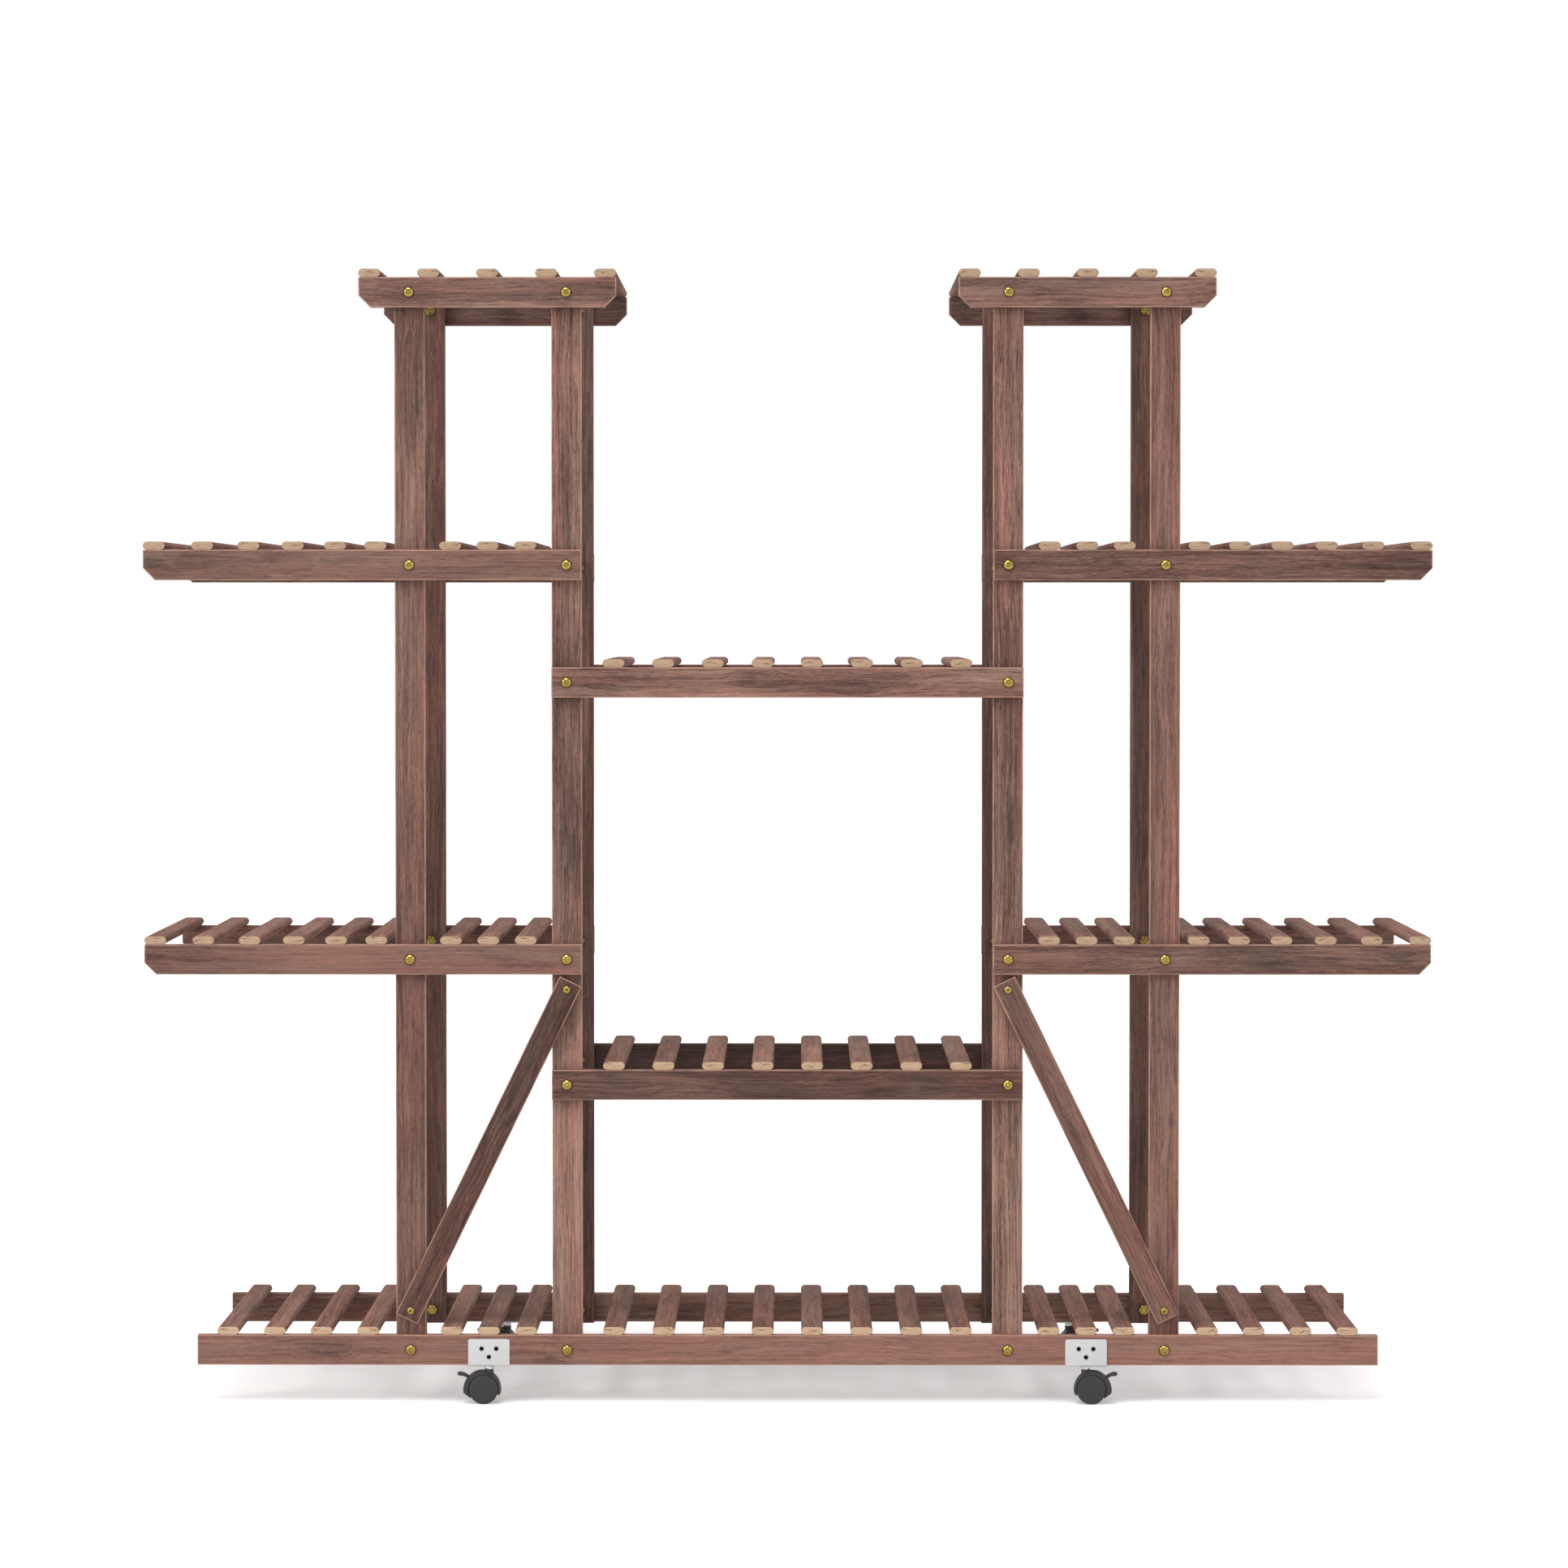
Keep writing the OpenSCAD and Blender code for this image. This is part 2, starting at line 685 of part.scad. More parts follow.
for (e = ends) {
    for (s = sides) {
        corner = str(e[0], "_", s[0]);
        post(s[1] * outer_post_x, e[1]);
        post(s[1] * inner_post_x, e[1]);
        side_rail(s[1], side_low_rise, e[1]);
        side_rail(s[1], side_high_rise, e[1]);
        top_rail(s[1], e[1]);
        hood(s[1], e[1]);
        wheels(s[1], e[1]);
        axle(s[1], e[1]);
        lever(s[1], e[1]);
    }
    bottom_rail(e[1]);
    mid_rail(mid_low_rise, e[1]);
    mid_rail(mid_high_rise, e[1]);
}
for (s = sides) {
    slats(s[1] * side_row, side_low_rise);
    slats(s[1] * side_row, side_high_rise);
    slats(s[1] * top_row, top_rise);
    brace(s[1]);
}
slats(bottom_row, 0);  // bottom_slats
slats(mid_row, mid_low_rise);  // mid_low_slats
slats(mid_row, mid_high_rise);  // mid_high_slats
frame_bolts();
frame_nuts();
brace_screws();
slat_nails();
caster_brackets();
bracket_screws();
caster_stems();
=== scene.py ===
"""Dresses the packed plant stand: stained boards and slats, brass fasteners, sheet brackets,
casters with brake levers, and the plain white studio around them."""

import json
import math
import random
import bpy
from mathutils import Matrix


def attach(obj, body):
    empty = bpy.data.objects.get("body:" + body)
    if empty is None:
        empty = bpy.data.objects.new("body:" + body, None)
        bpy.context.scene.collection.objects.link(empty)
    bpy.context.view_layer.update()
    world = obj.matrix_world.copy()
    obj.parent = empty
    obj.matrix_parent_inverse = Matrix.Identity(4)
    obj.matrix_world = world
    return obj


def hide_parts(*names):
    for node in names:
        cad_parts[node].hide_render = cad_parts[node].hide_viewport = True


bl_info = {
    "name": "Wheeled plant stand",
    "version": (1, 0, 0),
    "blender": (4, 5, 0),
    "location": "3D View > Sidebar > Plant Stand",
    "description": "Builds the boards, slats, fasteners and casters of a slatted plant stand",
    "category": "Add Mesh",
}

import bmesh
import bpy
import numpy as np
from mathutils import Matrix, Vector
from mathutils.geometry import convex_hull_2d

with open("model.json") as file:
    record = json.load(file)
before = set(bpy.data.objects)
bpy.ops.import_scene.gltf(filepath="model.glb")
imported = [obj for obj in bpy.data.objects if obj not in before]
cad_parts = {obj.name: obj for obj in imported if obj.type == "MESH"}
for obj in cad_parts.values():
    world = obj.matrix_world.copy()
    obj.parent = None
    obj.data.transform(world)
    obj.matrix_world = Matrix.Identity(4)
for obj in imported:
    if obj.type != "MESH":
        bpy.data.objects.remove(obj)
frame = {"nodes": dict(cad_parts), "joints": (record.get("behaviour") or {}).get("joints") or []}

CORNERS = ("front_left", "front_right", "rear_left", "rear_right")
SIDES = ("left", "right")
SHELVES = (
    "bottom", "mid_low", "mid_high", "side_low_left", "side_low_right",
    "side_high_left", "side_high_right", "top_left", "top_right",
)

# How each board looks in the photograph: the stain along it, from its left or lower end and
# from -1 dark to 1 pale; its redness; and its smoky marks, each with its place along and
# across the board as shares of its length and half width, and its half length in metres
# The darker stains of the rear boards are partly their stain and partly painted shade from the
# shelves and front boards in front of and above them
BOARDS = {
    "bottom_rail_front": ((0.15, 0.03, 0.32, 0.45, 0.58, 0.57, 0.55), 0.6, ((0.11, 0.1, 0.055),)),
    "bottom_rail_rear": ((-0.55, -0.1, 0.15, 0.15, 0.15, 0.15, 0.15), 0.0, ((0.05, 0.0, 0.06),)),
    "mid_low_rail_front": ((-1.0, -0.9, -1.05, -0.95, -1.0), 0.1,
                           ((0.15, 0.2, 0.07), (0.8, 0.0, 0.06))),
    "mid_low_rail_rear": ((-1.8, -1.8), -0.2, ()),
    "mid_high_rail_front": ((-0.1, -0.2, 0.15, 0.2, -0.15, -0.25, 0.05, 0.1, -0.05), -0.25,
                            ((0.44, 0.1, 0.055), (0.64, -0.3, 0.045))),
    "mid_high_rail_rear": ((-0.8, -0.8), 0.0, ()),
    "side_low_rail_front_left": ((-0.3, -0.23, 0.09, 0.1, 0.07, 0.15), 0.1,
                                 ((0.11, 0.3, 0.035), (0.02, 0.2, 0.022))),
    "side_low_rail_front_right": ((-0.32, -0.32, -0.62, -0.57, -0.72, -0.42, -0.67, -0.72), 0.1,
                                  ((0.63, -0.3, 0.06), (0.93, 0.2, 0.03))),
    "side_low_rail_rear_left": ((-0.7, -0.7), 0.0, ()),
    "side_low_rail_rear_right": ((-0.7, -0.7), 0.0, ()),
    "side_high_rail_front_left": ((-0.58, -0.48, -0.08, -0.03, -0.08, -0.08), -0.1,
                                  ((0.11, 0.3, 0.035), (0.02, 0.2, 0.022))),
    "side_high_rail_front_right": ((-0.63, -0.63, -0.93, -0.88, -1.03, -0.73, -0.93, -0.93), -0.15,
                                   ((0.63, -0.3, 0.06), (0.93, 0.2, 0.03))),
    "side_high_rail_rear_left": ((-0.7, -0.7), 0.0, ()),
    "side_high_rail_rear_right": ((-0.7, -0.7), 0.0, ()),
    "top_rail_front_left": ((-0.35, -0.25, -0.15, -0.3), 0.0, ((0.78, -0.6, 0.035),)),
    "top_rail_front_right": ((-0.3, -0.25, -0.2, -0.2), 0.0, ((0.45, -0.6, 0.03),)),
    "top_rail_rear_left": ((-0.95, -0.95), 0.0, ()),
    "top_rail_rear_right": ((-0.95, -0.95), 0.0, ()),
    "post_front_left_outer": ((0.0, -0.23, -0.53, -0.47, -0.37, -0.5), 0.15,
                              ((0.9, -0.4, 0.08),)),
    "post_front_left_inner": (
        (0.3, 0.51, 0.72, 0.33, -0.26, -0.55, -0.59, -0.23, -0.26, -0.28, -0.35), -0.2,
        ((0.47, 0.1, 0.06),)),
    "post_front_right_inner": (
        (0.6, 0.69, 0.64, 0.32, -0.09, -0.5, -0.45, -0.2, -0.15, -0.17, -0.2), -0.15,
        ((0.5, -0.2, 0.05),)),
    "post_front_right_outer": ((0.1, 0.1, 0.15, 0.08, -0.05, -0.18, 0.0, -0.12, -0.15), 0.3,
                               ((0.225, -0.5, 0.012),)),
    "post_rear_left_outer": ((-0.85, -0.8, -0.75, -0.65), 0.0, ()),
    "post_rear_left_inner": ((-0.95, -0.95, -0.9, -0.8), 0.0, ()),
    "post_rear_right_inner": ((-0.95, -1.0, -0.95, -0.85), 0.0, ()),
    "post_rear_right_outer": ((-0.85, -0.8, -0.75, -0.65), 0.0, ()),
    "brace_left": ((-1.2, -1.55, -1.68), 0.1, ((0.65, 0.0, 0.06),)),
    "brace_right": ((-0.25, -0.13, -0.2), 0.1, ((0.4, 0.0, 0.06),)),
}

# Boards whose streaks are stronger than the others', and by which share
STREAKY = {"post_front_left_inner": 0.35, "post_front_right_inner": 0.4,
           "mid_high_rail_front": 0.2, "brace_left": 0.2, "brace_right": -0.1,
           "bottom_rail_front": -0.2, "side_low_rail_front_left": -0.35,
           "side_high_rail_front_left": -0.25, "side_high_rail_front_right": 0.15}

# Painted shade on the sawn slat ends of each shelf: a grey factor, 1 on the bottom shelf and
# darker on the higher ones
END_SHADES = {"bottom": 1.0, "mid_low": 0.88, "side_low": 0.81, "mid_high": 0.76,
             "side_high": 0.73, "top": 0.71}

# Attributes that hold a board's marks, and a mark that no board reaches, for those with fewer
MARKS = ("mark_one", "mark_two")
NO_MARK = (9.0, 9.0, 0.0001)

# What turns the stain of a board cooler or redder
COOL = (0.93, 1.04, 1.05)
RED = (1.02, 0.93, 0.92)

# Brake lever and its cam nose: places outward from the pivot and above it, thickness and width,
# all in millimetres
LEVER_SHAPE = (
    (0.0, 0.0, 2.7, 10.0), (2.9, 1.8, 2.65, 10.0), (5.7, 3.45, 2.8, 10.0),
    (7.6, 4.0, 3.25, 10.0), (9.4, 4.3, 3.6, 9.8), (11.0, 4.5, 3.35, 9.0),
    (12.2, 4.65, 2.5, 7.4), (12.85, 4.7, 1.2, 4.6),
)
NOSE_SHAPE = ((0.0, 0.0, 1.6, 9.8), (-0.26, -0.9, 1.3, 9.8), (-0.52, -1.8, 1.0, 9.8),
              (-0.6, -2.15, 0.5, 9.4))

# Radius and length of the lever's hub, and radius of its pins, in metres
HUB = (0.00135, 0.0100)
PIN_RADIUS = 0.0010

# Width across the flats of a hexagon whose corners are at a radius of 1
ACROSS_FLATS = 1.732

# Length of a bolt's narrowed tip
BOLT_TIP = 0.0009

# Place, aim and size of each lamp; their powers are properties of the studio
LAMPS = {
    "front": ((-0.8, -2.1, 4.5), (0, 0, 0.55), (3.2, 2.0)),
    "left": ((-3.4, -2.2, 2.2), (0, 0, 0.5), (0.8, 1.6)),
    "right": ((3.2, -2.4, 2.3), (0, 0, 0.6), (0.6, 1.4)),
}
WHITE = (1.0, 1.0, 1.0, 1.0)
# The floor's white with a faint red: painted bounce light from the reddish wood, which shows in
# the floor's shadow
FLOOR_WHITE_WITH_PAINTED_BOUNCE = (0.80, 0.776, 0.773, 1.0)
FLOOR_HALF = 14.0


def srgb(red, green, blue):
    """Linear colour of an 8-bit sRGB one."""
    parts = [c / 255 for c in (red, green, blue)]
    return tuple(c / 12.92 if c <= 0.04045 else ((c + 0.055) / 1.055) ** 2.4 for c in parts)


def shade(tint, *factors):
    """A colour multiplied by one factor, or by one for each channel."""
    return [c * f for c, f in zip(tint, factors * 3)]


def vertices(mesh):
    """The vertices of a mesh, one row each, in metres."""
    points = np.empty(len(mesh.vertices) * 3)
    mesh.vertices.foreach_get("co", points)
    return points.reshape(-1, 3)


def solids(node):
    """The vertices of each closed solid in a CAD node."""
    mesh = frame["nodes"][node].data
    points = vertices(mesh)
    _, same = np.unique(np.round(points * 1e5).astype(int), axis=0, return_inverse=True)
    same = same.reshape(-1)
    leader = list(range(int(same.max()) + 1))

    def find(i):
        while leader[i] != i:
            leader[i] = leader[leader[i]]
            i = leader[i]
        return i

    for polygon in mesh.polygons:
        first, *rest = (find(same[v]) for v in polygon.vertices)
        for other in rest:
            leader[other] = first
            first = find(first)
    groups = {}
    for point, key in zip(points, same):
        groups.setdefault(find(key), []).append(point)
    found = [np.array(group) for group in groups.values()]
    return sorted(found, key=lambda g: tuple(np.round(g.mean(axis=0), 4)))


def ends(points):
    return points.min(axis=0), points.max(axis=0)


def middle(points):
    return sum(ends(points)) / 2


SLAT_SIZE = np.ptp(solids("top_slats_left")[0], axis=0)


def number(name, description, default, **settings):
    return bpy.props.FloatProperty(
        name=name, description=description, default=float(default), **settings)


def length(name, description, default):
    return number(name, description, default, min=0.0, max=2.0, subtype="DISTANCE",
                  unit="LENGTH", precision=5)


def watts(name, description, default):
    return number(name, description, default, min=0.0, unit="POWER")


def colour(name, description, *levels):
    return bpy.props.FloatVectorProperty(
        name=name, description=description, default=srgb(*levels), size=3, min=0.0, max=1.0,
        subtype="COLOR")


class StandTimber(bpy.types.PropertyGroup):
    """Sizes and stain of the boards and slats."""

    arris: length("Arris", "Radius of the eased edges of a board", 0.0006)
    worn_band: length("Worn band", "Width of the paler band beside an arris", 0.0010)
    slat_width: length("Slat width", "Width of a slat", SLAT_SIZE[0])
    slat_depth: length("Slat length", "Length of a slat", SLAT_SIZE[1])
    slat_thickness: length("Slat thickness", "Thickness of a slat", SLAT_SIZE[2])
    slat_ease: length("Slat end ease", "Radius of the eased end of a slat", 0.0004)
    slat_red: number("Slat redness", "How much redder the slats are than the boards", 0.5,
                     min=0.0, max=1.0, subtype="FACTOR")
    darkest: colour("Darkest grain", "Stain in the pores", 58, 42, 38)
    dark: colour("Dark grain", "Stain in the dark streaks", 98, 71, 64)
    main: colour("Main stain", "Main colour of the stained wood", 139, 104, 92)
    light: colour("Light grain", "Stain in the pale streaks", 169, 129, 112)
    smoke: colour("Smoky grain", "Dark grey of the smudges", 64, 52, 48)
    haze: colour("Smoky ground", "Lighter grey between the smudges", 94, 75, 68)
    worn: colour("Worn edge", "Colour of the rubbed edges", 188, 147, 127)
    bare: colour("Bare wood", "Colour of the unstained slat ends", 203, 175, 146)
    bare_main: colour("Bare layers", "Main colour between bare wood and its grain", 190, 158, 128)
    bare_dark: colour("Bare grain", "Colour of the grain in the slat ends", 160, 124, 95)
    seed: bpy.props.IntProperty(
        name="Seed", description="Picks the grain of every board and slat", default=7, min=0)


class StandMetal(bpy.types.PropertyGroup):
    """Sizes and finish of bolts, nuts, screws, nails, brackets and stems."""

    bolt_head: length("Bolt head", "Diameter of a frame bolt's head", 0.0108)
    bolt_rise: length("Bolt head height", "Height of a frame bolt's head", 0.003)
    bolt_socket: length("Bolt socket", "Width across the flats of the socket", 0.004)
    bolt_shank: length("Bolt shank", "Diameter of a frame bolt's shank", 0.006)
    nut_flats: length("Nut flats", "Width across the flats of a nut", 0.0096)
    nut_thickness: length("Nut thickness", "Thickness of a nut", 0.005)
    brace_head: length("Brace screw head", "Diameter of a brace screw's head", 0.008)
    brace_rise: length("Brace screw height", "Height of a brace screw's head", 0.002)
    plate_head: length("Bracket screw head", "Diameter of a bracket screw's head", 0.0044)
    plate_rise: length("Bracket screw height", "Height of a bracket screw's head", 0.001)
    sheet: length("Bracket sheet", "Thickness of the bracket's sheet", 0.0012)
    sheet_bend: length("Bracket bend", "Outer radius of the bracket's bend", 0.0016)
    sheet_corner: length("Bracket corner", "Radius of the bracket's upper corners", 0.0022)
    sheet_ease: length("Bracket ease", "Radius of the sheet's eased edges", 0.0003)
    stem_ease: length("Stem ease", "Radius of a stem's eased edges", 0.0003)
    brass: colour("Brass", "Colour of the brass finish", 156, 135, 70)
    painted: colour("Bracket paint", "Colour of the bracket's coat", 206, 206, 207)
    blackened: colour("Black finish", "Colour of the bracket's screws", 26, 26, 27)
    plated: colour("Plating", "Colour of the stems", 206, 206, 204)
    steel: colour("Steel", "Colour of the nails and axles", 150, 150, 150)


class StandCaster(bpy.types.PropertyGroup):
    """Sizes and colours of the casters."""

    ease: length("Moulded edge", "Radius of the moulded edges", 0.0005)
    wheel_round: length("Wheel rounding", "Width of the round edge of a wheel's face", 0.0011)
    shell: colour("Shell", "Colour of the hood and the lever", 35, 35, 36)
    face: colour("Wheel face", "Colour of the wheels", 37, 37, 38)


class StandStudio(bpy.types.PropertyGroup):
    """Camera, lamps and backdrop."""

    eye: bpy.props.FloatVectorProperty(
        name="Eye", description="Place of the camera", default=(0.00905, -4.0205, 0.7924),
        size=3, subtype="TRANSLATION", unit="LENGTH")
    pitch: number("Pitch", "How far the camera looks down", 0.0222, subtype="ANGLE",
                  unit="ROTATION")
    yaw: number("Yaw", "Turn of the camera about the vertical", 0.0032, subtype="ANGLE",
                unit="ROTATION")
    lens: number("Lens", "Focal length", 88.69, min=1.0, unit="CAMERA")
    rise: number("Shift", "Vertical shift of the lens", -0.0494)
    dome: number("Dome", "Strength of the light from all around", 0.64, min=0.0)
    near_glow: number("Near glow", "Own light of the floor beside the stand", 0.235, min=0.0)
    far_glow: number("Far glow", "Own light of the floor away from the stand", 0.75, min=0.0)
    front: watts("Main lamp", "Power of the large soft lamp high in front", 110.0)
    left: watts("Left lamp", "Power of the tall lamp to the left", 55.0)
    right: watts("Right lamp", "Power of the tall lamp to the right", 24.0)


def operation(name, swapped=False):
    """A method that adds one math node for its value and what it is given."""
    def method(self, *others):
        return self.graph.math(name, *((*others, self) if swapped else (self, *others)))
    return method


class Value:
    """An output of a node; arithmetic with it adds math nodes to its graph."""

    def __init__(self, graph, socket):
        self.graph, self.socket = graph, socket

    __add__ = operation("ADD")
    __sub__ = operation("SUBTRACT")
    __rsub__ = operation("SUBTRACT", swapped=True)
    __mul__ = operation("MULTIPLY")
    __truediv__ = operation("DIVIDE")
    __pow__ = operation("POWER")
    __abs__ = operation("ABSOLUTE")
    at_least = operation("MAXIMUM")
    at_most = operation("MINIMUM")
    over = operation("GREATER_THAN")
    # The value times a factor, counted from a start
    scaled = operation("MULTIPLY_ADD")


class Graph:
    """Adds nodes to a node tree and links them in one call each."""

    def __init__(self, tree):
        self.tree = tree

    def feed(self, node, inputs):
        """Links or sets the node's inputs; a list is linked to one input, item by item."""
        for key, given in inputs.items():
            for value in given if isinstance(given, list) else [given]:
                if isinstance(value, Value):
                    self.tree.links.new(value.socket, node.inputs[key])
                else:
                    node.inputs[key].default_value = value

    def add(self, kind, inputs=None, **settings):
        node = self.tree.nodes.new(kind)
        for name, value in settings.items():
            setattr(node, name, value)
        self.feed(node, inputs or {})
        return node

    def get(self, kind, inputs=None, output=0, **settings):
        """Adds a node and returns one of its outputs."""
        return Value(self, self.add(kind, inputs, **settings).outputs[output])

    def math(self, operation, *values, clamp=False):
        return self.get("ShaderNodeMath", dict(enumerate(values)), operation=operation,
                        use_clamp=clamp)

    def vector(self, operation, *values):
        return self.get("ShaderNodeVectorMath", dict(enumerate(values)),
                        "Value" if operation == "LENGTH" else "Vector", operation=operation)

    def split(self, vector):
        node = self.add("ShaderNodeSeparateXYZ", {0: vector})
        return [Value(self, socket) for socket in node.outputs]

    def join(self, x, y, z):
        return self.get("ShaderNodeCombineXYZ", {0: x, 1: y, 2: z})

    def reach(self, x, y):
        return self.vector("LENGTH", self.join(x, y, 0.0))

    def ramp(self, value, low, high, to_low=0.0, to_high=1.0, smooth=True):
        return self.get(
            "ShaderNodeMapRange",
            {"Value": value, "From Min": low, "From Max": high, "To Min": to_low,
             "To Max": to_high}, "Result",
            interpolation_type="SMOOTHSTEP" if smooth else "LINEAR")

    def noise(self, place, fineness, detail=2.0, roughness=0.55, distortion=0.0):
        """Noise that is as fine as told, in waves per metre along all axes or each of them."""
        if isinstance(fineness, float):
            fineness = (fineness,) * 3
        return self.get("ShaderNodeTexNoise", {
            "Vector": self.vector("MULTIPLY", place, fineness), "Scale": 1.0,
            "Detail": detail, "Roughness": roughness, "Distortion": distortion}, "Fac")

    def mix(self, factor, first, second, blend="MIX"):
        first, second = (
            tint if isinstance(tint, Value) else (*tint, 1.0) for tint in (first, second))
        return self.get("ShaderNodeMix", {0: factor, 6: first, 7: second}, 2,
                        data_type="RGBA", blend_type=blend)

    def colours(self, value, stops):
        node = self.add("ShaderNodeValToRGB", {"Fac": value})
        elements = node.color_ramp.elements
        while len(elements) < len(stops):
            elements.new(0.5)
        for element, (place, tint) in zip(elements, stops):
            element.position = place
            element.color = (*tint, 1.0)
        return Value(self, node.outputs["Color"])

    def attribute(self, name, output="Vector"):
        return self.get("ShaderNodeAttribute", output=output, attribute_name=name)

    def bump(self, height, strength, distance):
        return self.get("ShaderNodeBump", {
            "Height": height, "Strength": strength, "Distance": distance}, "Normal")

    def object_place(self):
        return self.get("ShaderNodeTexCoord", output="Object")


def new_material(name):
    """A material with one plain shader; returns its graph and shader."""
    material = bpy.data.materials.new(name)
    material.use_nodes = True
    return Graph(material.node_tree), material.node_tree.nodes["Principled BSDF"]


def smoky_mark(graph, name):
    """1 in the middle of a board's mark and 0 outside it, and how far it bends the grain."""
    mark_along, mark_across, half_length = graph.split(graph.attribute(name))
    along, across, _ = graph.split(graph.attribute("spot"))
    beside = across - mark_across
    half_width = half_length.scaled(0.2, 0.004)
    zone = graph.ramp(
        graph.reach((along - mark_along) / half_length, beside / half_width), 1.0, 0.1)
    return zone, zone * beside * -0.5


def stained_wood(name, timber, edge, marks, smudge, gloss):
    """Stained softwood; edge gives the graph value that is 1 on a rubbed edge."""
    graph, shader = new_material(name)
    grain = graph.attribute("grain")

    def noise(place, along, across, **settings):
        return graph.noise(place, (along, across, across), **settings)

    # The grain sways slowly and in short waves, and bends round the marks
    sway = (noise(grain, 5.0, 9.0) - 0.5) * 0.017
    sway = (noise(grain, 14.0, 40.0) - 0.5).scaled(0.0018, sway)
    zone = None
    for mark in marks:
        inside, bend = smoky_mark(graph, mark)
        zone = inside if zone is None else zone.at_least(inside)
        sway = sway + bend
    flow = graph.vector("ADD", grain, graph.join(0.0, sway, sway))

    # The figure is a sum of layers from broad bands to fine pores
    bands = noise(flow, 2.4, 62.0)
    clouds = noise(grain, 9.0, 30.0, detail=3.0)
    strands = noise(flow, 4.5, 360.0, roughness=0.6)
    dashes = noise(flow, 26.0, 900.0, roughness=0.6)
    pores = noise(flow, 150.0, 1500.0, detail=1.0)
    figure = graph.ramp(dashes, 0.55, 0.70) * -0.16
    for layer, weight in ((bands, 0.34), (clouds, 0.26), (strands, 0.46), (dashes, 0.70),
                          (pores, 0.30)):
        figure = (layer - 0.5).scaled(weight, figure)
    value = graph.attribute("tone", "Fac").scaled(0.17, 0.46)
    value = figure.scaled(graph.attribute("streak", "Fac") + 1.0, value)
    wood = graph.colours(value, (
        (0.08, timber.darkest), (0.32, timber.dark), (0.53, timber.main),
        (0.74, timber.light), (1.0, timber.worn)))
    warmth = graph.ramp(noise(grain, 3.3, 40.0), 0.36, 0.64, smooth=False)
    warmth = graph.attribute("red", "Fac").scaled(0.5, warmth)
    hue = graph.mix(graph.math("ADD", warmth, 0.0, clamp=True), COOL, RED)
    wood = graph.mix(1.0, wood, hue, "MULTIPLY")

    # Grey smudges, in places of their own and in the board's marks
    haze = noise(grain, 10.0, 30.0, detail=4.0, roughness=0.62, distortion=0.5)
    smoke = graph.ramp(haze, 0.66 - 0.2 * smudge, 0.84 - 0.14 * smudge)
    if zone is not None:
        smoke = smoke.at_least(graph.math(
            "MULTIPLY", zone, graph.ramp(haze, 0.3, 0.55, 0.35, 1.2), clamp=True))
    curl = noise(grain, 300.0, 260.0, distortion=2.0)
    smoke = smoke * graph.ramp(curl, 0.36, 0.62, 0.4, 0.95)
    smoky = graph.mix(graph.ramp(strands, 0.38, 0.62), timber.smoke, timber.haze)
    smoky = graph.mix(graph.ramp(dashes, 0.35, 0.65, 0.0, 0.4), smoky, wood)
    wood = graph.mix(smoke, wood, smoky)

    rubbed = graph.ramp(noise(grain, 30.0, 110.0, detail=3.0), 0.3, 0.62, 0.25, 0.8)
    wear = graph.math("MULTIPLY", edge(graph), rubbed, clamp=True)
    graph.feed(shader, {
        "Base Color": graph.mix(wear, wood, timber.worn),
        "Roughness": graph.ramp(strands, 0.3, 0.7, 0.56, 0.68, smooth=False),
        "Specular IOR Level": gloss,
        "Normal": graph.bump(dashes + pores * 0.6, strength=0.35, distance=0.00025)})


def board_edge(graph):
    """1 along a board's arris, falling off over the worn band."""
    return graph.ramp(graph.attribute("rim", "Fac"), 0.25, 0.95)


def slat_edge(graph):
    """1 where the flat face of a slat turns into its round edge."""
    x = abs(graph.split(graph.attribute("place"))[0])
    shoulder = x - float(SLAT_SIZE[0] - 0.8 * SLAT_SIZE[2]) / 2
    return graph.ramp(abs(shoulder), 0.0012, 0.0002, 0.0, 0.15)


def bare_end(timber):
    """Unstained, sawn end of a slat: flat growth layers, a split and a knot on most of them."""
    graph, shader = new_material("bare_slat_end")
    x, y, z = graph.split(graph.attribute("place"))
    along, across, up = graph.split(graph.attribute("grain"))
    point = graph.join(across, up, along)

    def noise(sideways, upward, **settings):
        return graph.noise(point, (sideways, upward, 0.5), **settings)

    layers = up * 3300.0 + noise(60.0, 160.0) * 22.0
    layers = graph.ramp(graph.math("SINE", layers), -0.9, 1.0)
    specks = noise(900.0, 2600.0, detail=3.0, roughness=0.7)
    value = layers.scaled(0.34, specks * 0.5)
    value = (noise(120.0, 300.0) - 0.5).scaled(0.8, value)
    wood = graph.colours(value, (
        (0.15, timber.bare), (0.55, timber.bare_main), (0.95, timber.bare_dark)))

    # Each slat's own random shift places its split and knot, and leaves some slats without
    own = [along - y, across - x, up - z]
    wave = noise(260.0, 10.0, detail=3.0) - 0.5
    off_line = abs(z - wave.scaled(0.006, own[1].scaled(0.0009, 0.0013)))
    off_spot = x - own[2] * 0.004
    split = (graph.ramp(off_line, 0.00045, 0.00012)
             * graph.ramp(abs(off_spot), 0.0065, 0.0035))
    split = split.at_least(graph.ramp(graph.reach(off_spot, off_line), 0.0011, 0.0005))
    chosen = graph.math("FRACT", own[0] * 3.7).over(0.2)
    wood = graph.mix(split * chosen * 0.9, wood, timber.dark)

    half = float(SLAT_SIZE[2]) / 2
    straight = float(SLAT_SIZE[0]) / 2 - half
    reach = graph.reach((abs(x) - straight).at_least(0.0), z)
    rim = graph.ramp(reach, half - 0.0006, half - 0.0001, 0.0, 0.15)
    wood = graph.mix(rim, wood, timber.dark)
    # Painted shade: the slat ends of each shelf are darkened by that shelf's own factor
    wood = graph.mix(1.0, wood, graph.attribute("end_tone", "Fac"), "MULTIPLY")
    graph.feed(shader, {
        "Base Color": wood, "Roughness": 0.72, "Specular IOR Level": 0.25,
        "Normal": graph.bump(specks, strength=0.3, distance=0.0002)})


